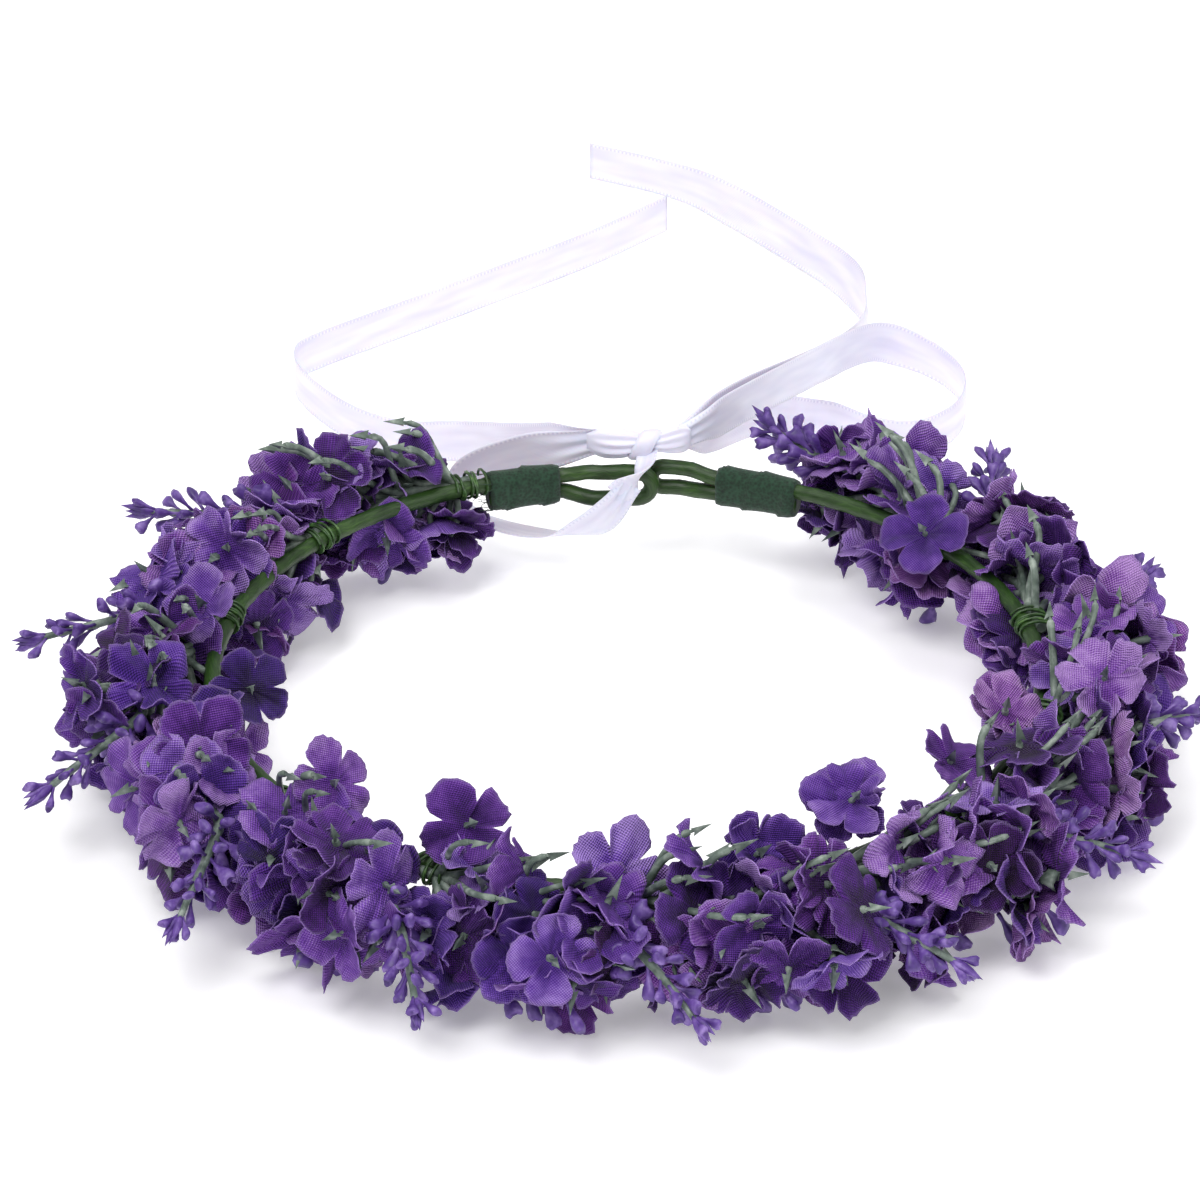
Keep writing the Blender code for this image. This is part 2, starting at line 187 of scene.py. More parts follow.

# %% [markdown]
# ## The ribbon
# The tie is one length of 10 mm double-faced satin. It stands on its edge on the table, because it was
# folded flat on a reel and is stiff across its width. A ribbon is a flat cord: a strip swept along a smooth
# route. Its points are listed one by one, because nothing but hands laid it there, with the lean of its
# upper edge.

# %% Ribbon routes, in mm and degrees from the hoop's centre
RIBBON_WIDTH = 10.0 * MM
RIBBON_THICK = 0.3 * MM
RIBBON_STEP = 1.25 * MM
ROUTES = {
    "ribbon_tail_left": (
        (-6, 92.6, 34.3, 0), (-15, 101, 29, 0), (-27, 119, 19, 10), (-39, 136, 10.5, 5), (-52, 146, 5.6, 0),
        (-63, 152.5, 5.4, 0), (-72, 163, 5.4, 0), (-79, 176, 5.4, 0), (-79.5, 186, 5.4, 0),
        (-74, 192.5, 5.4, 0), (-67, 198.5, 5.4, 0), (-54, 209, 5.4, 0), (-31, 228, 5.4, 0),
        (-8, 247.5, 5.4, 0), (11, 267, 5.4, 0),
    ),
    "ribbon_tail_right": (
        (12.5, 92.6, 35.0, 0), (19, 103, 34.5, 0), (28, 121, 30.5, 0), (43, 150, 22, 0), (53, 176, 13.5, 0),
        (58.6, 199, 7, 0), (59.6, 214, 5.4, 0), (57, 227, 5.2, 25), (52, 239, 4.6, 40),
        (44.5, 250, 4.6, 40), (36, 262, 4.6, 42), (28, 272, 4.8, 35), (19, 281, 5.3, 12),
        (8, 288.5, 5.4, 0), (-8.5, 297, 5.4, 0),
    ),
    "ribbon_bow_right": (
        (12.5, 91.8, 35.0, 0), (19, 98, 35.5, 0), (28, 115, 32, 0), (42, 142, 25.5, 0), (52.5, 167, 18, 0),
        (61, 182, 13, 0), (69, 187.5, 8, 0), (76.5, 184.5, 5.6, 0), (81.2, 175, 5.4, 0),
        (82, 166, 5.4, 0), (79.5, 156.5, 5.4, 0), (73, 148.8, 5.4, 0), (66, 146.6, 5.4, 0),
        (58, 149.5, 5.4, 0), (50, 156, 5.4, 0), (41, 156, 6.5, 0), (31, 140, 15, 0), (21, 115, 24.5, 0),
        (14, 98.5, 32, 0),
    ),
    "ribbon_bow_left": (
        (-6, 91.8, 34.6, 10), (-14, 95, 31, 10), (-24, 97, 28, 0), (-33, 98, 24, 0), (-37, 98, 19, 20),
        (-35, 96, 13.5, 60), (-27, 92, 11.5, 75), (-16, 87, 12.5, 70), (-8, 83, 17, 40), (-3, 81.5, 22.5, 20),
        (1, 81.5, 28.5, 10),
    ),
}

# %% Sweep a strip along each route
ACROSS = 16
WAVE_LENGTH, FOLDS_ACROSS = 9 * MM, 2.6
EDGE_FROM, EDGE_THIN = 0.45, 0.55

def smooth_route(route, step):
    """Points about a step apart on a smooth curve through the route's points, each with its lean."""
    points = [Vector(p) for p in route]
    points = [points[0] * 2 - points[1]] + points + [points[-1] * 2 - points[-2]]
    made = []
    for a, b, c, d in zip(points, points[1:], points[2:], points[3:]):
        count = max(1, round((c - b).to_3d().length * MM / step))
        for k in range(count):
            t = k / count
            made.append(
                0.5 * (2 * b + (c - a) * t + (2 * a - 5 * b + 4 * c - d) * t**2
                       + (3 * b - a - 3 * c + d) * t**3)
            )
    return made + [points[-2]]

def closed_mesh(name, made):
    """The smooth mesh of a closed bmesh, its faces outwards."""
    bmesh.ops.recalc_face_normals(made, faces=made.faces)
    mesh = bpy.data.meshes.new(name)
    made.to_mesh(mesh)
    made.free()
    mesh.shade_smooth()
    return mesh

def strip_mesh(name, route, widths, folds, thick, wave):
    """A closed strip of cloth along (place, lean) points, folded lengthwise; its UV map is in mm."""
    made = bmesh.new()
    uv = made.loops.layers.uv.new("UVMap")
    path, leans = zip(*route)
    count = len(path)
    travelled = [0.0]
    for a, b in zip(path, path[1:]):
        travelled.append(travelled[-1] + (b - a).length)
    walls = {1: [], -1: []}
    for side in walls:
        for i in range(count):
            tangent = (path[min(i + 1, count - 1)] - path[max(i - 1, 0)]).normalized()
            sideways = tangent.cross(Vector((0, 0, 1))).normalized()
            upright = sideways.cross(tangent).normalized()
            lean = math.radians(leans[i])
            wide = math.cos(lean) * upright + math.sin(lean) * sideways
            face = math.cos(lean) * sideways - math.sin(lean) * upright
            row = []
            for k in range(ACROSS + 1):
                share = k / ACROSS - 0.5
                bow = wave * math.sin(travelled[i] / WAVE_LENGTH) * math.cos(math.pi * share)
                bow += folds[i] * math.cos(2 * math.pi * FOLDS_ACROSS * share + 0.7)
                half = thick / 2 * (1.0 if abs(share) < EDGE_FROM else EDGE_THIN)
                row.append(made.verts.new(path[i] + wide * share * widths[i] + face * (side * half + bow)))
            walls[side].append(row)

    def face_with_uv(verts, corners):
        for loop, (row, column) in zip(made.faces.new(verts).loops, corners):
            loop[uv].uv = ((column / ACROSS - 0.5) * RIBBON_WIDTH / MM, travelled[row] / MM)

    for wall in walls.values():
        for i in range(count - 1):
            for k in range(ACROSS):
                corners = [(i, k), (i, k + 1), (i + 1, k + 1), (i + 1, k)]
                face_with_uv([wall[r][c] for r, c in corners], corners)
    rim = [(i, 0) for i in range(count)] + [(count - 1, k) for k in range(1, ACROSS + 1)]
    rim += [(i, ACROSS) for i in range(count - 2, -1, -1)] + [(0, k) for k in range(ACROSS - 1, 0, -1)]
    front, back = walls[1], walls[-1]
    for (r, c), (s, d) in zip(rim, rim[1:] + rim[:1]):
        face_with_uv((front[r][c], front[s][d], back[s][d], back[r][c]), [(r, c)] * 4)
    return closed_mesh(name, made)

def lofted(name, rings, tip=None, endless=False):
    """A closed mesh through rings of points: with flat ends, with a point at the far end, or endless."""
    made = bmesh.new()
    walls = [[made.verts.new(p) for p in ring] for ring in rings]
    count = len(rings[0])
    for near, far in zip(walls, walls[1:] + walls[:1] if endless else walls[1:]):
        for k in range(count):
            made.faces.new((near[k], near[(k + 1) % count], far[(k + 1) % count], far[k]))
    if not endless:
        made.faces.new(walls[0])
        if tip is None:
            made.faces.new(walls[-1])
        else:
            middle = made.verts.new(tip)
            for k in range(count):
                made.faces.new((walls[-1][k], walls[-1][(k + 1) % count], middle))
    return closed_mesh(name, made)

def piece(name, mesh, body, slot, *stands_for, coat=None):
    """A finished piece: linked, riding on its body, with the nodes it replaces hidden; its slot argument is not
    used.
    """
    if coat:
        mesh.materials.append(coat)
    made = bpy.data.objects.new(name, mesh)
    bpy.context.scene.collection.objects.link(made)
    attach(made, body)
    if stands_for:
        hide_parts(*stands_for)
    return made

# %% Woven satin
# mm from thread to thread (drawn coarser than the real 0.1, so that it shows) and from stitch to stitch
WARP, STITCH = 0.35, 1.1
# mm from the ribbon's middle to its line of stitches, and half that line's width
STITCH_LINE, STITCH_HALF = 4.35, 0.28
SATIN_TONES = [(0.15, "#d2d0e6"), (0.7, "#e8e6f4")]

def satin(tree):
    """Long warp threads that lie along the ribbon, and a stitched edge on both sides."""
    place = add(tree, "ShaderNodeUVMap", uv_map="UVMap")
    flat = add(tree, "ShaderNodeSeparateXYZ", {0: place})
    warp = add(tree, "ShaderNodeMath", {0: flat.outputs[0], 1: 2 * math.pi / WARP}, operation="MULTIPLY")
    warp = add(tree, "ShaderNodeMath", {0: warp}, operation="SINE")
    slub = add(tree, "ShaderNodeMapping", {"Vector": place, "Scale": (0.35, 0.05, 1.0)})
    slub = add(tree, "ShaderNodeTexNoise", {"Vector": slub, "Scale": 1.0, "Detail": 1.0})
    stitch = add(tree, "ShaderNodeMath", {0: flat.outputs[1], 1: 2 * math.pi / STITCH}, operation="MULTIPLY")
    stitch = add(tree, "ShaderNodeMath", {0: stitch}, operation="SINE")
    edge = add(tree, "ShaderNodeMath", {0: flat.outputs[0]}, operation="ABSOLUTE")
    edge = add(tree, "ShaderNodeMath", {0: edge, 1: STITCH_LINE, 2: STITCH_HALF}, operation="COMPARE")
    stitch = add(tree, "ShaderNodeMath", {0: stitch, 1: edge}, operation="MULTIPLY")
    shade = add(tree, "ShaderNodeMath", {0: stitch, 1: -0.35, 2: slub}, operation="MULTIPLY_ADD")
    height = add(tree, "ShaderNodeMath", {0: stitch, 1: 3.0, 2: warp}, operation="MULTIPLY_ADD")
    return {
        "Base Color": add(tree, "ShaderNodeValToRGB", {0: shade}, stops=SATIN_TONES),
        "Normal": add(tree, "ShaderNodeBump", {"Height": height, "Strength": 0.25, "Distance": 0.00005}),
    }

satin_white = finish(
    "woven_satin_white", satin, Roughness=0.38, Sheen_Weight=0.25,
    Subsurface_Weight=0.15, Subsurface_Scale=0.002,
)

# %% [markdown]
# ## The knot
# Where satin is pulled tight it gathers into pleats. The two ends come in flat, close up into a pleated
# waist at the knot, and open again on its other side. A short band of the same ribbon goes round the waist.

# %% Knot: a pleated waist and the band round it
KNOT_MIDDLE = (91.4, 34.3)
# along the knot from left to right: place, half depth and half height
KNOT_GATHER = (
    (-9.0, 0.5, 2.2), (-7.0, 1.7, 3.0), (-4.5, 2.8, 3.3), (-1.0, 3.2, 3.1), (1.5, 2.8, 2.6), (4.0, 2.1, 2.0),
    (6.5, 2.0, 2.0), (9.0, 2.2, 2.5), (11.5, 2.0, 3.1), (13.5, 1.5, 3.2), (15.0, 0.5, 2.4),
)
PLEATS, PLEAT_DEPTH = 9, 0.13
PLEATED_FROM, PLEATED_TO, TIGHTENS_OVER = -9.0, 16.0, 5.0
WAIST_PLACE, BAND_PLACE, BAND_HALF = 4.0, 4.6, 2.5

def gathered(place, deep, high):
    """One pleated section across the knot."""
    ring = []
    tight = smooth((place - PLEATED_FROM) / TIGHTENS_OVER) * smooth((PLEATED_TO - place) / TIGHTENS_OVER)
    off = place - WAIST_PLACE
    for k in range(72):
        turn = 2 * math.pi * k / 72
        pleat = 1.0 + PLEAT_DEPTH * tight * math.cos(PLEATS * turn + 0.09 * place)
        y = KNOT_MIDDLE[0] + 0.008 * off * off + deep * pleat * math.cos(turn)
        z = KNOT_MIDDLE[1] + 0.05 * off + high * pleat * math.sin(turn)
        ring.append(CENTRE + Vector((place, y, z)) * MM)
    return ring

gather = smooth_route([(*section, 0.0) for section in KNOT_GATHER], 0.6 * MM)
waist = lofted("satin_waist", [gathered(p.x, p.y, p.z) for p in gather])
knot = piece("satin_knot", waist, "left_half", "satin_ribbon", "ribbon_knot", coat=satin_white)

band_rings = []
for k in range(40):
    turn = 2 * math.pi * k / 40
    outward = Vector((0.0, math.cos(turn), math.sin(turn)))
    middle = Vector((
        BAND_PLACE + 1.6 * math.sin(turn + 0.6),
        KNOT_MIDDLE[0] + 2.7 * outward.y,
        KNOT_MIDDLE[1] - 0.6 + 3.0 * outward.z,
    ))
    ring = []
    for j in range(24):
        spin = 2 * math.pi * j / 24
        pleat = 0.7 + 0.2 * math.cos(5 * spin + 1.0) * abs(math.cos(spin))
        around = outward * pleat * math.sin(spin) + Vector((BAND_HALF * math.cos(spin), 0, 0))
        ring.append(CENTRE + (middle + around) * MM)
    band_rings.append(ring)
band = lofted("satin_band", band_rings, endless=True)
knot_band = piece("satin_band", band, "left_half", "satin_ribbon", coat=satin_white)
print("knot:", len(waist.polygons) + len(band.polygons), "faces")

# %% The four lengths of ribbon, and the end of the left bow loop
# points over which the ribbon gathers, the share of its width it loses and the depth of its folds there
GATHERS_OVER, NARROWS_BY, FOLD_DEPTH = 14, 0.4, 0.55 * MM
END_ROUTE = (
    (-2.0, 81.5, 26.0, 18), (1.0, 81.5, 28.5, 12), (3.2, 83.2, 30.4, 40), (4.6, 86.6, 32.2, 72),
    (5.2, 90.4, 33.4, 84),
)

def placed_route(route, step):
    """A route's points in the frame, each with its lean."""
    return [(CENTRE + Vector((p.x, p.y, p.z)) * MM, p.w) for p in smooth_route(route, step)]

def gathering(k, count, is_loop):
    """How far the ribbon has gathered at a point on its way: 1 in the knot, 0 where it lies flat."""
    from_knot = min(k, count - 1 - k) if is_loop else k
    return 1.0 - smooth(from_knot / GATHERS_OVER)

for name, route in ROUTES.items():
    points = placed_route(route, RIBBON_STEP)
    path = [place for place, lean in points]
    drawn_in = [gathering(k, len(path), "bow" in name) for k in range(len(path))]
    widths = [RIBBON_WIDTH * (1.0 - NARROWS_BY * share) for share in drawn_in]
    folds = [FOLD_DEPTH * share for share in drawn_in]
    mesh = strip_mesh(name, points, widths, folds, RIBBON_THICK, 0.3 * MM)
    strip = piece(name.replace("ribbon", "satin"), mesh, "left_half", "satin_ribbon", name, coat=satin_white)
    ends = "bare" if "tail" in name else "object"

points = placed_route(END_ROUTE, 0.5 * MM)
widths = [RIBBON_WIDTH * (0.72 - 0.26 * smooth(k / len(points))) for k in range(len(points))]
mesh = strip_mesh("satin_end", points, widths, [0.0] * len(points), 0.5 * MM, 0.4 * MM)
piece("satin_end", mesh, "left_half", "satin_ribbon", coat=satin_white)

# %% [markdown]
# ## Two trees that do the repeating
# A sprig has dozens of arms, tips, buds and florets. Each kind is one small shape or one thin line, so two
# Geometry Nodes trees make them all: one turns lines into tubes of a thickness read from each point, the
# other puts shapes on points and turns each the way its point says. What they make is then kept as a plain
# mesh.

# %% Helpers to build and run a tree
def new_tree(name, *sockets):
    """A Geometry Nodes tree with a geometry input and further named inputs, and its group input node."""
    tree = bpy.data.node_groups.new(name, "GeometryNodeTree")
    for label, kind in (("Geometry", "NodeSocketGeometry"), *sockets, ("Finish", "NodeSocketMaterial")):
        tree.interface.new_socket(label, in_out="INPUT", socket_type=kind)
    tree.interface.new_socket("Geometry", in_out="OUTPUT", socket_type="NodeSocketGeometry")
    return tree, add(tree, "NodeGroupInput")

def end_tree(tree, start, geometry):
    """Every tree ends in real geometry that carries the finish it was given."""
    real = add(tree, "GeometryNodeRealizeInstances", {"Geometry": geometry})
    coated = add(tree, "GeometryNodeSetMaterial", {"Geometry": real, "Material": start.outputs["Finish"]})
    add(tree, "NodeGroupOutput", {"Geometry": coated})

def held(mesh):
    """An object that holds a mesh while a modifier works on it."""
    holder = bpy.data.objects.new("holder", mesh)
    bpy.context.scene.collection.objects.link(holder)
    return holder

def let_go(holder):
    """The plain mesh that a holder's modifier made; the holder and what it started from go."""
    graph = bpy.context.evaluated_depsgraph_get()
    mesh = bpy.data.meshes.new_from_object(
        holder.evaluated_get(graph), preserve_all_data_layers=True, depsgraph=graph
    )
    before = holder.data
    bpy.data.objects.remove(holder)
    bpy.data.meshes.remove(before)
    return mesh

def grown(tree, start_mesh, **sizes):
    """The plain mesh that a tree makes from a starting mesh."""
    holder = held(start_mesh)
    modifier = holder.modifiers.new("grow", "NODES")
    modifier.node_group = tree
    for item in tree.interface.items_tree:
        if item.in_out == "INPUT" and item.name in sizes:
            modifier[item.identifier] = sizes[item.name]
    return let_go(holder)

def dotted(places, lines=(), **values):
    """A mesh of bare points and lines whose attributes (whole numbers, numbers or vectors) steer a tree."""
    mesh = bpy.data.meshes.new("dots")
    mesh.from_pydata(places, lines, [])
    kinds = {float: ("FLOAT", "value"), int: ("INT", "value"), Vector: ("FLOAT_VECTOR", "vector")}
    for name, column in values.items():
        kind, field = kinds[type(column[0])]
        attribute = mesh.attributes.new(name, kind, "POINT")
        for item, value in zip(attribute.data, column):
            setattr(item, field, value)
    return mesh

# %% A tree for tubes
tubes, start = new_tree("tubes_along_lines", ("Sides", "NodeSocketInt"))
line = add(tubes, "GeometryNodeMeshToCurve", {"Mesh": start.outputs["Geometry"]})
thick = add(tubes, "GeometryNodeInputNamedAttribute", {"Name": "thick"}, data_type="FLOAT")
ring = add(
    tubes, "GeometryNodeCurvePrimitiveCircle", {"Resolution": start.outputs["Sides"], "Radius": 1.0}
)
tube = add(
    tubes, "GeometryNodeCurveToMesh",
    {"Curve": line, "Profile Curve": ring, "Scale": thick, "Fill Caps": True},
)
end_tree(tubes, start, add(tubes, "GeometryNodeSetShadeSmooth", {"Geometry": tube}))

class Strands:
    """Lines for the tubes tree, with the radius of each point."""

    def __init__(self):
        self.places, self.lines, self.thick = [], [], []

    def lay(self, path, thick):
        """Adds a line; thick(share) is its radius in mm, from its start (0) to its end (1)."""
        for k, place in enumerate(path):
            if k:
                self.lines.append((len(self.places) - 1, len(self.places)))
            self.places.append(place)
            self.thick.append(thick(k / (len(path) - 1)) * MM)

    def mesh(self, sides, coat):
        return grown(tubes, dotted(self.places, self.lines, thick=self.thick), Sides=sides, Finish=coat)

# %% A tree for shapes on points
SWAY_SEED = 7
shapes, start = new_tree(
    "shapes_on_points", ("Shapes", "NodeSocketCollection"), ("Sway", "NodeSocketFloat")
)
chosen = add(
    shapes, "GeometryNodeCollectionInfo",
    {"Collection": start.outputs["Shapes"], "Separate Children": True, "Reset Children": True},
)
pick = add(shapes, "GeometryNodeInputNamedAttribute", {"Name": "pick"}, data_type="INT")
size = add(shapes, "GeometryNodeInputNamedAttribute", {"Name": "size"}, data_type="FLOAT")
facing = add(shapes, "GeometryNodeInputNamedAttribute", {"Name": "facing"}, data_type="FLOAT_VECTOR")
noise = add(
    shapes, "FunctionNodeRandomValue",
    {"Min": (-1.0, -1.0, -1.0), "Max": (1.0, 1.0, 1.0), "Seed": SWAY_SEED}, data_type="FLOAT_VECTOR",
)
sway = add(shapes, "ShaderNodeVectorMath", {0: noise, "Scale": start.outputs["Sway"]}, operation="SCALE")
turned = add(shapes, "ShaderNodeVectorMath", {0: facing, 1: sway}, operation="ADD")
turned = add(shapes, "FunctionNodeEulerToRotation", {0: turned})
placed = add(
    shapes, "GeometryNodeInstanceOnPoints",
    {"Points": start.outputs["Geometry"], "Instance": chosen, "Pick Instance": True,
     "Instance Index": pick, "Rotation": turned, "Scale": size},
)
end_tree(shapes, start, placed)

class Scatter:
    """Points for the shapes tree: which shape goes there, its size and the way it faces."""

    def __init__(self):
        self.places, self.values = [], {}

    def put(self, place, direction, pick, size, spin, **values):
        """Adds a point; the shape's +Z goes to direction, after a spin about its own axis."""
        turn = direction.to_track_quat("Z", "Y") @ Euler((0, 0, spin)).to_quaternion()
        self.places.append(place)
        for name, value in dict(pick=pick, size=size, facing=Vector(turn.to_euler()), **values).items():
            self.values.setdefault(name, []).append(value)

    def mesh(self, collection, sway, coat):
        return grown(shapes, dotted(self.places, **self.values), Shapes=collection, Sway=sway, Finish=coat)

print("trees:", tubes.name, shapes.name)

# %% Helper for shapes
def kept_shapes(name, meshes):
    """A collection of shapes that is never linked to the scene; trees pick from it in name order."""
    collection = bpy.data.collections.new(name)
    for k, mesh in enumerate(meshes):
        collection.objects.link(bpy.data.objects.new(f"{name}_{k:02d}", mesh))
    return collection

# %% [markdown]
# ## The hoop's tape
# Floral tape is crepe paper soaked in wax. It is pulled tight as it is wound, so each turn lies at a slant
# over the last one and leaves a low step that spirals along the wire. A tube whose radius follows that
# spiral gives the steps as real shape, and fine crepe creases are left to the material.

# %% The wire's path, as the frame has it
LEFT_SLEEVE, RIGHT_SLEEVE = (-170.2, -159.8), (154.5, 166.5)
LEFT_TIP, RIGHT_TIP = -185.0, 177.5
LEFT_LOOP_HALF, RIGHT_LOOP_HALF = 3.4 * MM, 2.6 * MM
LOOP_SIDESTEP = 2.2 * MM
TAPE_RADIUS = 1.8 * MM
# half the distance between the two strands where a sleeve binds them
BOUND_HALF = 1.95 * MM
SPLIT = math.degrees(math.asin((HINGE.x - CENTRE.x) / HOOP_RADIUS))
SPLIT_OVERLAP = 0.3
# degrees from point to point, and past a sleeve until its two strands are apart and aside
WIRE_STEP, APART_OVER, ASIDE_OVER = 0.6, 5.0, 6.0

def steps(first, last, size):
    """Evenly spaced numbers from first to last, at most size apart."""
    count = max(1, math.ceil(abs(last - first) / size))
    return [first + (last - first) * k / count for k in range(count + 1)]

def wire_path(first, sleeve_in, sleeve_out, tip, half, sidestep):
    """From the front, round to the loop's tip and back into the sleeve."""
    towards = 1 if tip > first else -1
    turn_at = tip - towards * arc_degrees(half + TAPE_RADIUS)

    def at(angle, side):
        past = towards * (angle - sleeve_out)
        apart = BOUND_HALF + (half - BOUND_HALF) * smooth(past / APART_OVER)
        return on_ring(angle, sidestep * smooth(past / ASIDE_OVER), side * apart - BOUND_HALF)

    path = [at(angle, 1) for angle in steps(first, turn_at, WIRE_STEP)]
    for k in range(1, 10):
        turn = math.pi * k / 10
        angle = turn_at + towards * arc_degrees(half * math.sin(turn))
        path.append(on_ring(angle, sidestep, half * math.cos(turn) - BOUND_HALF))
    return path + [at(angle, -1) for angle in steps(turn_at, sleeve_in, WIRE_STEP)]

# %% A wound tube
SIDES = 16
# mm: how far the wire travels in one turn of tape, and how high each turn's edge stands
TAPE_PITCH, TAPE_STEP = 7.5, 0.16

def wound_tape(travelled, turn):
    """The radius: steps of the tape's overlapping turns, and a slow unevenness along it."""
    turns = travelled / (TAPE_PITCH * MM) + turn / (2 * math.pi)
    step = (turns % 1.0) ** 3
    uneven = 0.05 * math.sin(travelled / (11 * MM)) + 0.04 * math.sin(travelled / (4.3 * MM) + 2 * turn)
    return TAPE_RADIUS + (TAPE_STEP * step + uneven - 0.05) * MM

def swept(name, path, outline):
    """A tube along a path; outline(travelled, turn) gives its radius, and its UV map is in mm."""
    made = bmesh.new()
    uv = made.loops.layers.uv.new("UVMap")
    normal = (path[1] - path[0]).orthogonal().normalized()
    travelled, rings, marks, before = 0.0, [], [], None
    for i, place in enumerate(path):
        tangent = (path[min(i + 1, len(path) - 1)] - path[max(i - 1, 0)]).normalized()
        if before:
            normal = before.rotation_difference(tangent) @ normal
            travelled += (place - path[i - 1]).length
        normal = (normal - tangent * normal.dot(tangent)).normalized()
        side = tangent.cross(normal)
        before = tangent
        ring = []
        for k in range(SIDES):
            turn = 2 * math.pi * k / SIDES
            radius = outline(travelled, turn)
            ring.append(made.verts.new(place + radius * (math.cos(turn) * normal + math.sin(turn) * side)))
        rings.append(ring)
        marks.append((travelled / MM, 2 * math.pi * outline(travelled, 0.0) / MM))
    for i in range(len(path) - 1):
        for k in range(SIDES):
            after = (k + 1) % SIDES
            face = made.faces.new((rings[i][k], rings[i][after], rings[i + 1][after], rings[i + 1][k]))
            for loop, (row, share) in zip(face.loops, ((i, k), (i, k + 1), (i + 1, k + 1), (i + 1, k))):
                loop[uv].uv = (share / SIDES * marks[row][1], marks[row][0])
    made.faces.new(rings[0])
    made.faces.new(rings[-1])
    return closed_mesh(name, made)

# %% Waxed crepe tape
def crepe(tree):
    """Fine slanting creases, the colour darker in their hollows and lighter on their ridges, over slow patches of
    tone.
    """
    place = add(tree, "ShaderNodeUVMap", uv_map="UVMap")
    slant = add(
        tree, "ShaderNodeMapping", {"Vector": place, "Rotation": (0, 0, 0.6), "Scale": (2.2, 0.25, 1.0)}
    )
    creases = add(tree, "ShaderNodeTexNoise", {"Vector": slant, "Scale": 1.6, "Detail": 4.0})
    patches = add(tree, "ShaderNodeTexNoise", {"Vector": place, "Scale": 0.12, "Detail": 2.0})
    both = add(tree, "ShaderNodeMath", {0: creases, 1: patches}, operation="ADD")
    both = add(tree, "ShaderNodeMath", {0: both, 1: 0.5}, operation="MULTIPLY")
    tones = [(0.3, "#12230a"), (0.5, "#243f15"), (0.72, "#3f6024")]
    return {
        "Base Color": add(tree, "ShaderNodeValToRGB", {0: both}, stops=tones),
        "Normal": add(tree, "ShaderNodeBump", {"Height": creases, "Strength": 0.5, "Distance": 0.00012}),
    }

tape = finish("waxed_crepe_tape", crepe, Roughness=0.42, IOR=1.45)
loops = {
    "left": (SPLIT + SPLIT_OVERLAP, LEFT_SLEEVE[1], LEFT_SLEEVE[0], LEFT_TIP, LEFT_LOOP_HALF, -LOOP_SIDESTEP),
    "right": (SPLIT - SPLIT_OVERLAP, *RIGHT_SLEEVE, RIGHT_TIP, RIGHT_LOOP_HALF, LOOP_SIDESTEP),
}
for side, loop in loops.items():
    mesh = swept("wound_tape_" + side, wire_path(*loop), wound_tape)
    piece("wound_tape_" + side, mesh, side + "_half", "floral_tape", "hoop_tape_" + side, coat=tape)
    print(f"wound_tape_{side}: {len(mesh.polygons)} faces")

# %% [markdown]
# ## Cloth sleeves over the loops' ends
# Each doubled-back end is bound with a few turns of dark green cotton tape, 12 mm wide. The turns overlap
# at a slant. The left one has started to fray where it was cut, so a few threads stand off its end.

# %% Cloth tape
def cotton(tree):
    """A tight matte weave with fuzz on it."""
    place = add(tree, "ShaderNodeTexCoord").outputs["Object"]
    threads = add(tree, "ShaderNodeTexVoronoi", {"Vector": place, "Scale": 1500.0})
    fuzz = add(tree, "ShaderNodeTexNoise", {"Vector": place, "Scale": 900.0, "Detail": 3.0})
    both = add(tree, "ShaderNodeMath", {0: threads, 1: fuzz}, operation="ADD")
    both = add(tree, "ShaderNodeMath", {0: both, 1: 0.6}, operation="MULTIPLY")
    tones = [(0.25, "#08190f"), (0.5, "#0f2a19"), (0.8, "#1b3d29")]
    return {
        "Base Color": add(tree, "ShaderNodeValToRGB", {0: both}, stops=tones),
        "Normal": add(tree, "ShaderNodeBump", {"Height": both, "Strength": 0.6, "Distance": 0.0002}),
    }

cloth = finish("cotton_cloth_tape", cotton, Roughness=0.9, Sheen_Weight=0.2)
SLEEVE_RADIUS, SLEEVE_SIDES = 3.15 * MM, 28
SLEEVE_PITCH, SLEEVE_STEP = 9.0 * MM, 0.5 * MM
# half the distance between the middles of the sleeve's two round sides
SLEEVE_SHIFT = BOUND_HALF * 0.8

def sleeve_mesh(name, first, last):
    """A flat-sided tube round both strands, with the steps of slanting turns and ends drawn in a little."""
    rings = []
    angles = steps(first, last, 0.4)
    for i, angle in enumerate(angles):
        ring = []
        from_end = min(i, len(angles) - 1 - i)
        inset = 0.35 * MM * (1 - smooth(from_end / 2))
        for k in range(SLEEVE_SIDES):
            turn = 2 * math.pi * (k + 0.5) / SLEEVE_SIDES
            turns = math.radians(angle - first) * HOOP_RADIUS / SLEEVE_PITCH + k / SLEEVE_SIDES
            radius = SLEEVE_RADIUS + SLEEVE_STEP * (turns % 1.0) ** 3 - inset
            shift = math.copysign(SLEEVE_SHIFT, math.cos(turn))
            ring.append(on_ring(angle, radius * math.sin(turn), shift + radius * math.cos(turn) - BOUND_HALF))
        rings.append(ring)
    return lofted(name, rings)

for side, ends in (("left", LEFT_SLEEVE), ("right", RIGHT_SLEEVE)):
    name = "cloth_sleeve_" + side
    piece(name, sleeve_mesh(name, *ends), side + "_half", "cloth_tape", "loop_sleeve_" + side, coat=cloth)

# %% Loose threads at the left sleeve's end
THREADS, FRAY_SEED = 26, 11
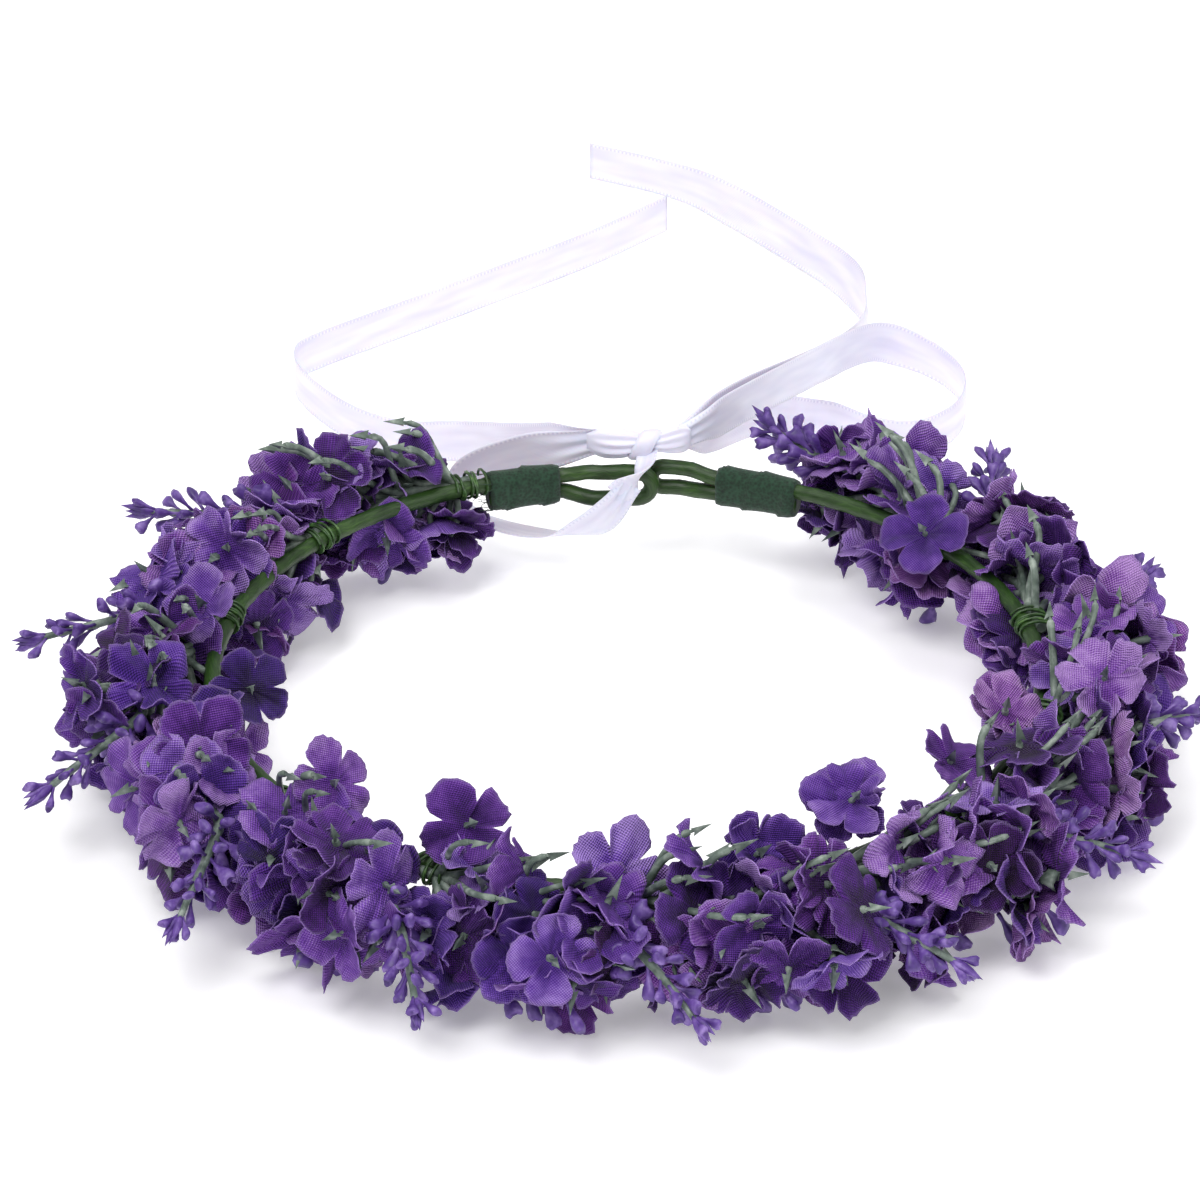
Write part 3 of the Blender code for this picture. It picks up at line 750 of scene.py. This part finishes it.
# the angle round the hoop that the threads point along
FRAY_ALONG = -160
rng = random.Random(FRAY_SEED)
frayed = Strands()
for thread in range(THREADS):
    turn = rng.uniform(0, 2 * math.pi)
    root = on_ring(
        LEFT_SLEEVE[1] - 0.3, SLEEVE_RADIUS * 0.97 * math.sin(turn),
        (SLEEVE_RADIUS + SLEEVE_SHIFT) * math.cos(turn) - BOUND_HALF,
    )
    drift = Vector([rng.uniform(-0.5, 0.5) for _ in range(3)])
    long = rng.uniform(1.2, 3.2) * MM
    shares = [k / 4 for k in range(5)]
    path = [root + (along(FRAY_ALONG) * share + drift * share**2) * long for share in shares]
    frayed.lay(path, lambda share: 0.11 - 0.05 * share)
piece("frayed_threads", frayed.mesh(5, cloth), "left_half", "cloth_tape")
print("sleeves and", THREADS, "loose threads")

# %% [markdown]
# ## Sprigs
# A sprig is moulded in grey-green polyethylene: a stem with curved arms, each ending in a barbed tip like a
# small arrowhead. Fabric florets are pushed over the tips, and the barbs keep them on. Past the florets the
# stem ends in a spike of small buds. Twelve sprigs are bound on one after the other, all pointing one way.
# First come the small shapes, each with a few dozen faces, then one loop plans every sprig.

# %% Small shapes from rings of points
def small_shape(name, levels, sides, point, tip=None):
    """A closed shape along +Z; point(turn, k, *level) gives each point of each level, in mm."""
    rings = [
        [Vector(point(2 * math.pi * k / sides, k, *level)) * MM for k in range(sides)] for level in levels
    ]
    return lofted(name, rings, tip=None if tip is None else Vector((0, 0, tip * MM)))

# %% Shape: barbed tip
BARB_HEIGHT = 0.7
# height, radius to a fin and radius to the valley between two
TIP_LEVELS = (
    (0.0, 0.55, 0.55), (1.6, 0.5, 0.5), (BARB_HEIGHT, 1.75, 0.5), (2.6, 1.2, 0.72), (5.0, 0.6, 0.42),
)

def barbs(turn, k, height, fin, valley):
    """Three barbs that sweep back below the neck's top and close into a point."""
    radius = valley if k % 2 else fin
    lift = 0.9 if k % 2 and height == BARB_HEIGHT else 0.0
    return radius * math.cos(turn), radius * math.sin(turn), height + lift

barbed_tip = small_shape("barbed_tip", TIP_LEVELS, 6, barbs, tip=7.6)
barbed_tip.set_sharp_from_angle(angle=math.radians(35))

# %% Shape: sepal cup
# height, radius and how far the three points stand out
CUP_LEVELS = (
    (-1.6, 0.85, 0), (-0.4, 1.2, 0), (0.6, 1.9, 0.3), (1.4, 2.4, 1.5), (1.2, 1.9, 1.2), (0.3, 1.0, 0),
)
THIRD = 2 * math.pi / 3

def cup(turn, k, height, radius, point):
    """A shallow cup with three pointed sepals that sits behind a floret."""
    sharp = max(0.0, math.cos(1.5 * ((turn + THIRD / 2) % THIRD - THIRD / 2))) ** 3
    reach = radius + point * sharp * 0.8
    return reach * math.cos(turn), reach * math.sin(turn), height + point * sharp

# %% Shape: bud
# height, half width and half depth
BUD_LEVELS = (
    (0, 0.5, 0.5), (2.4, 0.45, 0.45), (4.2, 0.9, 0.75), (5.8, 1.75, 1.15), (7.2, 2.15, 1.3), (8.2, 1.5, 0.9),
)
POINTED_LEVELS = ((0, 0.5), (1.5, 0.9), (3.5, 1.25), (5.5, 1.0), (7.5, 0.45))

def bud(split):
    """A thin neck that swells into a flattened club; a split one ends in two round lobes."""

    def club(turn, k, height, wide, deep):
        lobe = split * max(0.0, abs(math.cos(turn)) - 0.3) * (0.9 if height > 7 else 0.0)
        return wide * math.cos(turn), deep * math.sin(turn), height + lobe

    return small_shape("bud", BUD_LEVELS, 10, club, tip=8.3 - 0.9 * split)

def round_bud(turn, k, height, radius):
    return radius * math.cos(turn), radius * math.sin(turn), height

BARB, CUP = 0, 1
green_shapes = kept_shapes("green_shapes", [barbed_tip, small_shape("sepal_cup", CUP_LEVELS, 12, cup)])
SPLIT_BUD, CLUB_BUD, POINTED_BUD = 0, 1, 2
pointed_bud = small_shape("pointed_bud", POINTED_LEVELS, 6, round_bud, tip=9.2)
bud_shapes = kept_shapes("bud_shapes", [bud(1.0), bud(0.3), pointed_bud])

# %% [markdown]
# ## A floret
# Each floret is stamped out of stiffened plain-weave polyester, so it starts flat: four or five round
# lobes, with a rim of tiny teeth where the die cut across the threads. Pressing and packing then bend each
# lobe its own way. So the shape starts as a flat polar net, and each lobe is lifted, curled and cupped
# along its own length, which keeps the cloth from stretching. The flat net is kept as the UV map, in mm, so
# that the weave bends with the cloth.

# %% Shape: floret
FLORET_RADIUS, CLOTH_THICK = 10.8, 0.22 * MM
FLORET_KINDS = 20
COLUMNS, ROWS = 14, 7

def lobe_bends(rng, lobes):
    """For each lobe: lift, curl, cup, phase of its ripples and length. At most one is folded over."""
    bends = [
        (rng.gauss(0.02, 0.34), rng.gauss(-0.05, 0.6), rng.gauss(0.0, 0.2), rng.uniform(0, 6.3),
         rng.uniform(0.88, 1.1))
        for _ in range(lobes)
    ]
    if rng.choice((0, 0, 1, 1)):
        bends[0] = (rng.choice((-1, 1)) * rng.uniform(0.7, 1.5), rng.uniform(-0.6, 0.8), *bends[0][2:])
    return bends

def floret(seed):
    """One stamped floret, its lobes bent at random within what the cloth allows."""
    rng = random.Random(seed)
    lobes = 5 if rng.random() < 0.5 else 4
    bends = lobe_bends(rng, lobes)
    made = bmesh.new()
    uv = made.loops.layers.uv.new("UVMap")
    out = made.verts.layers.float.new("out")
    centre = made.verts.new((0, 0, 0))
    flat = {centre: Vector((0, 0))}
    rings = [[] for _ in range(ROWS)]
    total = COLUMNS * lobes
    sag, sag_turn = rng.uniform(-0.035, 0.035), rng.uniform(0, 3.1)
    for j in range(total):
        turn = 2 * math.pi * j / total
        lobe = round(j / COLUMNS) % lobes
        off = j / COLUMNS - round(j / COLUMNS)
        other = bends[(lobe + (1 if off > 0 else -1)) % lobes]
        share = (1 - math.cos(2 * math.pi * abs(off))) / 4
        lift, curl, cup, phase, long = [a * (1 - share) + b * share for a, b in zip(bends[lobe], other)]
        round_off = max(0.0, math.cos(math.pi * off)) ** 0.34
        outline = FLORET_RADIUS * long * (0.5 + 0.5 * round_off + 0.018 * math.sin(14 * off + phase))
        tooth = (0.13 if j % 2 else -0.11) + rng.uniform(-0.2, 0.2)
        x = z = before = 0.0
        for i in range(ROWS):
            s = ((i + 1) / ROWS) ** 0.8
            radius = outline * s + (tooth if i == ROWS - 1 else 0.0)
            slope = lift * smooth(s / 0.45) + curl * s * s + 0.22 * math.sin(7 * s + phase)
            x += (radius - before) * math.cos(slope)
            z += (radius - before) * math.sin(slope)
            before = radius
            ripple = 0.6 * s**3 * math.sin(11 * off + phase) + 0.25 * s * math.sin(23 * off + 2 * phase)
            crease = -0.45 * s * (1 - s) * math.exp(-((off * 9) ** 2)) * 4
            cupped = cup * radius * (2 * off) ** 2 * 0.9 * s
            bow = sag * (x * math.cos(turn - sag_turn)) ** 2
            height = z + cupped + ripple + crease + bow
            vert = made.verts.new(Vector((x * math.cos(turn), x * math.sin(turn), height)) * MM)
            vert[out] = s
            flat[vert] = Vector((radius * math.cos(turn), radius * math.sin(turn)))
            rings[i].append(vert)
    for j in range(total):
        after = (j + 1) % total
        made.faces.new((centre, rings[0][j], rings[0][after]))
        for near, far in zip(rings, rings[1:]):
            made.faces.new((near[j], far[j], far[after], near[after]))
    for face in made.faces:
        for loop in face.loops:
            loop[uv].uv = flat[loop.vert]
    mesh = bpy.data.meshes.new("floret")
    made.to_mesh(mesh)
    made.free()
    holder = held(mesh)
    wall = holder.modifiers.new("cloth", "SOLIDIFY")
    wall.thickness = CLOTH_THICK
    wall.offset = 0.0
    solid = let_go(holder)
    solid.shade_smooth()
    return solid

floret_shapes = kept_shapes("floret_shapes", [floret(seed + 1) for seed in range(FLORET_KINDS)])

# %% [markdown]
# ## Finishes for the sprigs
# The florets are disperse-dyed in batches, so some lean to blue-violet and some to magenta, and each is
# darker towards its middle, where the dye pools. Two numbers on each floret, `dye` and `warm`, carry that.
# The weave is drawn from the flat pattern, with a thread every 0.33 mm each way, so one over-and-under is
# 0.66 mm.

# %% Dyed polyester
THREAD = 0.66
COOL = [(0.0, "#17052e"), (0.3, "#34156a"), (0.55, "#552a9a"), (0.8, "#7f54c0"), (1.0, "#b492e4")]
ROSY = [(0.0, "#22052e"), (0.3, "#471566"), (0.55, "#6e2e96"), (0.8, "#985cb8"), (1.0, "#c89ade")]

def weave(tree):
    """Threads from the flat pattern, over dye that pools in the middle, with a painted highlight along the rim."""
    flat = add(tree, "ShaderNodeSeparateXYZ", {0: add(tree, "ShaderNodeUVMap", uv_map="UVMap").outputs[0]})
    waves = []
    for axis in (0, 1):
        scaled = {0: flat.outputs[axis], 1: 2 * math.pi / THREAD}
        wave = add(tree, "ShaderNodeMath", scaled, operation="MULTIPLY")
        waves.append(add(tree, "ShaderNodeMath", {0: wave.outputs[0]}, operation="SINE").outputs[0])
    threads = add(tree, "ShaderNodeMath", {0: waves[0], 1: waves[1]}, operation="MULTIPLY").outputs[0]
    place = add(tree, "ShaderNodeTexCoord").outputs["Object"]
    blotch = add(tree, "ShaderNodeTexNoise", {"Vector": place, "Scale": 230.0, "Detail": 4.0}).outputs["Fac"]
    blotch = add(tree, "ShaderNodeMath", {0: blotch, 1: 0.5}, operation="SUBTRACT").outputs[0]
    dye = add(tree, "ShaderNodeAttribute", attribute_name="dye").outputs["Fac"]
    warm = add(tree, "ShaderNodeAttribute", attribute_name="warm").outputs["Fac"]
    out = add(tree, "ShaderNodeAttribute", attribute_name="out").outputs["Fac"]
    pooled = add(
        tree, "ShaderNodeMapRange",
        {"Value": out, "From Min": 0.0, "From Max": 0.9, "To Min": -0.3, "To Max": 0.06},
    ).outputs[0]
    tone = add(tree, "ShaderNodeMath", {0: dye, 1: pooled}, operation="ADD").outputs[0]
    tone = add(tree, "ShaderNodeMath", {0: blotch, 1: 0.8, 2: tone}, operation="MULTIPLY_ADD").outputs[0]
    tone = add(tree, "ShaderNodeMath", {0: threads, 1: 0.19, 2: tone}, operation="MULTIPLY_ADD").outputs[0]
    cool, rosy = (add(tree, "ShaderNodeValToRGB", {0: tone}, stops=stops) for stops in (COOL, ROSY))
    base = add(tree, "ShaderNodeMix", {"Factor": warm, 6: cool, 7: rosy}, data_type="RGBA")
    # painted highlight: the outermost edge of each floret is mixed towards a pale lilac
    rim = add(
        tree, "ShaderNodeMapRange",
        {"Value": out, "From Min": 0.93, "From Max": 1.0, "To Min": 0.0, "To Max": 0.55},
    ).outputs[0]
    rim_highlight = {"Factor": rim, 6: base.outputs[2], 7: colour("#a587cc")}
    base = add(tree, "ShaderNodeMix", rim_highlight, data_type="RGBA")
    bump = add(tree, "ShaderNodeBump", {"Height": threads, "Strength": 1.0, "Distance": 0.00025})
    return {"Base Color": base.outputs[2], "Normal": bump}

dyed = finish("dyed_plain_weave_polyester", weave, Roughness=0.75, Specular_IOR_Level=0.25, Sheen_Weight=0.06)

# %% Moulded polyethylene, green and lilac, and enamelled wire
GREEN_TONES = [(0.3, "#46544b"), (0.5, "#67756b"), (0.7, "#98a399")]
LILAC_TONES = [(0.3, "#3c2568"), (0.52, "#5f4190"), (0.7, "#8e74b8")]
ENAMEL_TONES = [(0.35, "#1c3312"), (0.6, "#37592a"), (0.75, "#5b7d3e")]

def moulded_green(tree):
    """Soft patches, and the fine grain of the mould."""
    place = add(tree, "ShaderNodeTexCoord").outputs["Object"]
    grain = add(tree, "ShaderNodeTexNoise", {"Vector": place, "Scale": 1500.0, "Detail": 2.0})
    bump = add(tree, "ShaderNodeBump", {"Height": grain, "Strength": 0.25, "Distance": 0.0001})
    return {**mottled(350.0, 4.0, GREEN_TONES)(tree), "Normal": bump}

polyethylene = finish("moulded_polyethylene_green", moulded_green, Roughness=0.45, IOR=1.5)
lilac = finish("moulded_polyethylene_lilac", mottled(300.0, 3.0, LILAC_TONES), Roughness=0.45, IOR=1.5)
green_wire = finish("enamelled_binding_wire", mottled(500.0, 3.0, ENAMEL_TONES), Roughness=0.4)

# %% Sizes of a sprig
SPRIGS, SPRIG_STEP, FIRST_SPRIG, MOVING_SPRIG = 12, 26.0, -156.0, 6
STEM_END, STEM_SPREAD, SPREAD_FROM = 23.6, 13.0 * MM, 2.0
STEM_RADIUS = 1.3 * MM
# mm from the wire to each bud spike's end, outwards and down, and the degrees it goes on for
SPIKE_REACH = (41, 42, 42, 42, 40, 40, 38, 36, 34, 34, 32, 22)
SPIKE_DROP = (0, 2, 6, 8, 9, 9, 8, 7, 4, 0, -4, -3)
SPIKE_SPAN = 9.0
FLORETS, BARE_ARMS, SPRIG_SEED = 30, 9, 500
GOLDEN_SHARE = 0.618
TABLE_GAP, PRESSED_BELOW = 0.3 * MM, 3 * MM

def stem_reach(angle):
    return TAPE_RADIUS + STEM_RADIUS + STEM_SPREAD * smooth((angle - SPREAD_FROM) / STEM_END)

def stem_point(turn, angle):
    return on_ring(turn + angle, stem_reach(angle))

def across(angle, tilt):
    """A direction across the hoop: 0 outwards, 90 up, 180 inwards, -90 down."""
    return outwards(angle) * math.cos(math.radians(tilt)) + Vector((0, 0, math.sin(math.radians(tilt))))

def bent_arm(root, leaves, end, arrives, points=9):
    """A smooth arm from its root to its floret, given the directions it leaves and arrives in."""
    reach = (end - root).length
    made = []
    for k in range(points):
        t = k / (points - 1)
        made.append(
            root * (2 * t**3 - 3 * t**2 + 1) + leaves * reach * (t**3 - 2 * t**2 + t)
            + end * (3 * t**2 - 2 * t**3) + arrives * reach * (t**3 - t**2)
        )
    return made

# %% [markdown]
# Most florets fall where chance puts them, within a tube round the stem. A few stand clear of the rest and
# give this crown its own outline, so those are listed one by one: angle, reach and height from the wire, tone and
# size.

# %% Florets listed one by one
STANDING = (
    (-21.7, 0.0, 12.0, 0.55, 0.98), (-43.6, -1.0, 10.5, 0.8, 1.0), (-1.6, 2.0, 5.0, 1.0, 1.12),
    (17.0, 1.0, 7.0, 0.7, 0.95), (30.9, 0.0, 14.0, 0.75, 1.0), (51.0, -3.0, 10.0, 0.6, 0.95),
    (69.0, -4.0, 8.0, 0.9, 1.0), (76.0, 15.0, 13.0, 0.95, 1.15), (-81.0, -8.0, 3.0, 0.3, 0.95),
    (-112.0, 5.0, 11.0, 0.85, 1.15), (129.0, -4.0, 4.0, 0.55, 1.0), (-62.0, 12.0, 9.0, 0.5, 1.1),
)
TOWARDS_VIEW = Vector((0.0, -0.74, 0.67))

def standing_florets(index):
    """The listed florets of one sprig, planned like the rest."""
    planned = []
    for angle, reach, height, tone, size in STANDING:
        if int((angle - FIRST_SPRIG) // SPRIG_STEP) == index:
            direction = (TOWARDS_VIEW + along(angle) * 0.35).normalized()
            place = on_ring(angle, reach * MM, height * MM)
            planned.append((place, direction, angle, angle - FIRST_SPRIG - index * SPRIG_STEP, tone, size))
    return planned

# %% One sprig: plan its florets
def plan_sprig(index):
    """Each floret of a sprig, as (place, direction, spin, angle along the sprig, tone, size)."""
    rng = random.Random(SPRIG_SEED + index)
    turn = FIRST_SPRIG + index * SPRIG_STEP
    planned = []
    for k in range(FLORETS):
        share = (k + rng.uniform(0.0, 1.0)) / FLORETS
        angle = 0.6 + 24.4 * share
        tilt = -132 + 222 * ((k * GOLDEN_SHARE + 0.13 * index) % 1.0) + rng.uniform(-10, 10)
        if share < 0.2 and tilt > -20:
            tilt -= 85
        core = on_ring(turn + angle, stem_reach(angle) * 0.8, -3.0 * MM)
        away = rng.choice((rng.uniform(8.0, 12.0), rng.uniform(12.0, 18.0))) * MM
        away *= 0.68 + 0.32 * smooth(min(share, 1.12 - share) / 0.25)
        if abs(tilt) > 92:
            away *= 0.7
        if tilt > 40:
            away *= 0.8
        away *= 1.0 - 0.2 * smooth((abs(index - 5.5) - 3.5) / 2.0)
        facing = across(turn + angle, tilt)
        lean = math.radians(rng.uniform(-5, 62))
        direction = (facing * math.cos(lean) + along(turn + angle) * math.sin(lean)).normalized()
        direction = (direction + Vector([rng.uniform(-0.42, 0.42) for _ in range(3)])).normalized()
        place = core + facing * away
        place.z = max(place.z, 6.0 * MM)
        spin, tone, size = rng.uniform(0, 6.3), rng.uniform(0.22, 1.0), rng.uniform(0.9, 1.16)
        planned.append((place, direction, spin, angle, tone, size))
    return turn, rng, planned + standing_florets(index)

def above_table(mesh):
    """Lifts what would reach below the table, as the table itself does."""
    for vert in mesh.vertices:
        vert.co.z = max(vert.co.z, TABLE_GAP)
    return mesh

def pressed(mesh):
    """Presses the lowest few mm of the florets against the table, as the crown's weight does."""
    lowest = min(vert.co.z for vert in mesh.vertices)
    for vert in mesh.vertices:
        if vert.co.z < PRESSED_BELOW:
            share = (vert.co.z - lowest) / max(PRESSED_BELOW - lowest, 1e-6)
            vert.co.z = TABLE_GAP + share * (PRESSED_BELOW - TABLE_GAP)
    return mesh

# %% One sprig: its fabric, arms, tips and cups
def make_florets(rng, planned):
    """A sprig's fabric; one floret in five has a second one stacked behind it."""
    petals = Scatter()
    for place, direction, spin, angle, tone, size in planned:
        layers = 2 if rng.random() < 0.2 else 1
        warm = min(max(0.0, rng.gauss(0.4, 0.3)), 1.0)
        for layer in range(layers):
            petals.put(
                place - direction * layer * 1.3 * MM, direction, rng.randrange(FLORET_KINDS), size,
                spin + layer * 0.6, dye=tone - 0.1 * layer, warm=warm,
            )
    return pressed(petals.mesh(floret_shapes, 0.12, dyed))

def bare_arms(rng, turn):
    """A few arms without a floret, planned like the rest."""
    bare = []
    for _ in range(BARE_ARMS):
        angle = rng.uniform(3, 23)
        tilt = rng.choice((-75, -50, 60, 85, 110, 20, 45, 75)) + rng.uniform(-15, 15)
        facing = across(turn + angle, tilt)
        direction = (facing * 0.35 + along(turn + angle)).normalized()
        place = on_ring(turn + angle, stem_reach(angle) * 0.8) + facing * rng.uniform(10, 17) * MM
        place.z = max(place.z, 5 * MM)
        bare.append((place, direction, 0.0, angle, 0.0, 0.0))
    return bare

def make_arms(rng, turn, planned):
    """The stem with its arms, and the barbed tips and sepal cups on them."""
    arms, tips = Strands(), Scatter()
    stem = [stem_point(turn, angle) for angle in steps(-2.2, STEM_END, 1.0)]
    arms.lay(stem, lambda t: 1.3 - 0.25 * t + 0.12 * math.sin(40 * t))
    for k, (place, direction, spin, angle, *_) in enumerate(planned + bare_arms(rng, turn)):
        root_angle = max(0.2, angle - rng.uniform(4, 13))
        root = stem_point(turn, root_angle)
        leaves = (along(turn + root_angle) + (place - root).normalized() * 1.1).normalized()
        arm = bent_arm(root, leaves, place, direction) + [place + direction * 0.9 * MM]
        thick = rng.uniform(0.85, 1.1)
        arms.lay(arm, lambda t: thick - 0.32 * t + (0.18 if 0.78 < t < 0.9 else 0.0))
        tips.put(place + direction * 0.8 * MM, direction, BARB, rng.uniform(0.68, 0.92), spin)
        if k < len(planned) and rng.random() < 0.55:
            tips.put(place - direction * 3.4 * MM, direction, CUP, rng.uniform(0.72, 1.0), spin + 1.0)
    return arms.mesh(8, polyethylene), tips.mesh(green_shapes, 0.1, polyethylene)

# %% Bud spike
def make_spike(rng, turn, index):
    """The ribbed spine past the last florets, whorls of buds along it and a tuft at its end."""
    reach, drop = SPIKE_REACH[index] * MM, SPIKE_DROP[index] * MM
    path = []
    for k in range(15):
        share = k / 14
        out = stem_reach(STEM_END) + (reach - stem_reach(STEM_END)) * share**1.5
        path.append(on_ring(turn + STEM_END + SPIKE_SPAN * share, out, -drop * share * share))
    spine, buds = Strands(), Scatter()
    spine.lay(path, lambda t: 1.25 - 0.6 * t + (0.12 if round(14 * t) % 2 else 0.0))
    for whorl in range(9):
        k = 1 + round(whorl * 1.5)
        forward = (path[min(k + 1, 14)] - path[k - 1]).normalized()
        side = forward.orthogonal().normalized()
        for b in range(3):
            spin = 2 * math.pi * b / 3 + whorl * 1.1 + rng.uniform(-0.3, 0.3)
            perp = Matrix.Rotation(spin, 3, forward) @ side
            spread = math.radians(rng.uniform(32, 66) - 16 * whorl / 8)
            direction = forward * math.cos(spread) + perp * math.sin(spread)
            buds.put(
                path[k] + perp * 0.6 * MM, direction, rng.choice((SPLIT_BUD, SPLIT_BUD, CLUB_BUD)),
                rng.uniform(0.85, 1.08) * (1.0 - 0.28 * whorl / 8), rng.uniform(0, 3),
            )
    for _ in range(5):
        angle = rng.uniform(2, STEM_END)
        facing = across(turn + angle, rng.uniform(-95, -40))
        buds.put(
            on_ring(turn + angle, stem_reach(angle), -3 * MM) + facing * rng.uniform(12, 16) * MM,
            (facing + along(turn + angle) * 0.5).normalized(), rng.choice((SPLIT_BUD, CLUB_BUD)),
            rng.uniform(0.9, 1.15), rng.uniform(0, 3),
        )
    forward = (path[14] - path[12]).normalized()
    for b in range(4):
        perp = Matrix.Rotation(b * 1.7, 3, forward) @ forward.orthogonal().normalized()
        direction = (forward + perp * 0.16 * b / 2).normalized()
        buds.put(path[13] + perp * 0.3 * MM, direction, POINTED_BUD, rng.uniform(0.7, 0.95), b)
    return spine.mesh(8, polyethylene), buds.mesh(bud_shapes, 0.08, lilac)

# %% Binding wire
WIRE_TURNS, WIRE_STEPS = 6.5, 18

def make_binding(turn):
    """Uneven turns of fine wire round the tape and the stem's base."""
    path = []
    count = WIRE_TURNS * WIRE_STEPS
    for k in range(int(count)):
        spin = 2 * math.pi * k / WIRE_STEPS
        angle = turn - 3.0 + 4.6 * k / count + 0.5 * math.sin(spin * 0.37 + turn * 0.7)
        wide = 3.9 * MM + 0.25 * MM * math.sin(spin * 1.3)
        height = 2.55 * MM * math.sin(spin) + 0.2 * MM * math.sin(spin * 0.7)
        path.append(on_ring(angle, 1.5 * MM + wide * math.cos(spin), height))
    wire = Strands()
    wire.lay(path, lambda t: 0.33)
    return wire.mesh(6, green_wire)

# %% All the sprigs
def make_sprig(index):
    number = f"_{index + 1:02d}"
    body = "right_half" if index >= MOVING_SPRIG else "left_half"
    turn, rng, planned = plan_sprig(index)
    fabric = make_florets(rng, planned)
    arms, tips = make_arms(rng, turn, planned)
    spine, buds = make_spike(rng, turn, index)
    piece("fabric_florets" + number, fabric, body, "floret_fabric", "florets" + number)
    piece("moulded_arms" + number, above_table(arms), body, "stem_plastic", "sprig_stem" + number)
    piece("barbs_and_cups" + number, above_table(tips), body, "stem_plastic")
    piece("spike_spine" + number, spine, body, "stem_plastic")
    piece("buds" + number, above_table(buds), body, "bud_plastic", "bud_spike" + number)
    piece("wire_turns" + number, make_binding(turn), body, "binding_wire", "binding_wire" + number)

for index in range(SPRIGS):
    make_sprig(index)
print(SPRIGS, "sprigs with", SPRIGS * FLORETS, "florets")

# %% [markdown]
# ## Floor and light
# A white sweep that is lit a little from below, and large soft lights, as in a product studio.

# %% Floor, world and lights
FLOOR_SIDE = 8.0
WHITE = (1.0, 1.0, 1.0, 1.0)
paper = mottled(40.0, 4.0, [(0.3, "#fafafa"), (0.7, "#ffffff")])
sweep = finish("lit_sweep", paper, Roughness=0.9, Emission_Color=WHITE, Emission_Strength=0.22)
floor_mesh = bpy.data.meshes.new("floor")
corners = [(x * FLOOR_SIDE, y * FLOOR_SIDE, 0) for x, y in ((-1, -1), (1, -1), (1, 1), (-1, 1))]
floor_mesh.from_pydata(corners, [], [(0, 1, 2, 3)])
floor_mesh.materials.append(sweep)
floor = bpy.data.objects.new("floor", floor_mesh)
bpy.context.scene.collection.objects.link(floor)

world = bpy.data.worlds.new("studio")
world.use_nodes = True
world.node_tree.nodes["Background"].inputs["Color"].default_value = WHITE
world.node_tree.nodes["Background"].inputs["Strength"].default_value = 0.52
bpy.context.scene.world = world

# each light's name, place and size in metres, and watts
LIGHTS = (
    ("key", (-0.5, -0.9, 1.7), 1.0, 23.0),
    ("fill", (1.3, -0.6, 1.0), 1.2, 7.0),
    ("top", (0.1, 0.5, 1.8), 1.0, 9.0),
)
for name, place, size, power in LIGHTS:
    lamp = bpy.data.objects.new(name, bpy.data.lights.new(name, "AREA"))
    lamp.data.size = size
    lamp.data.energy = power
    lamp.location = place
    lamp.rotation_euler = (CENTRE - Vector(place)).to_track_quat("-Z", "Y").to_euler()
    bpy.context.scene.collection.objects.link(lamp)
bpy.context.scene.view_settings.view_transform = "Standard"
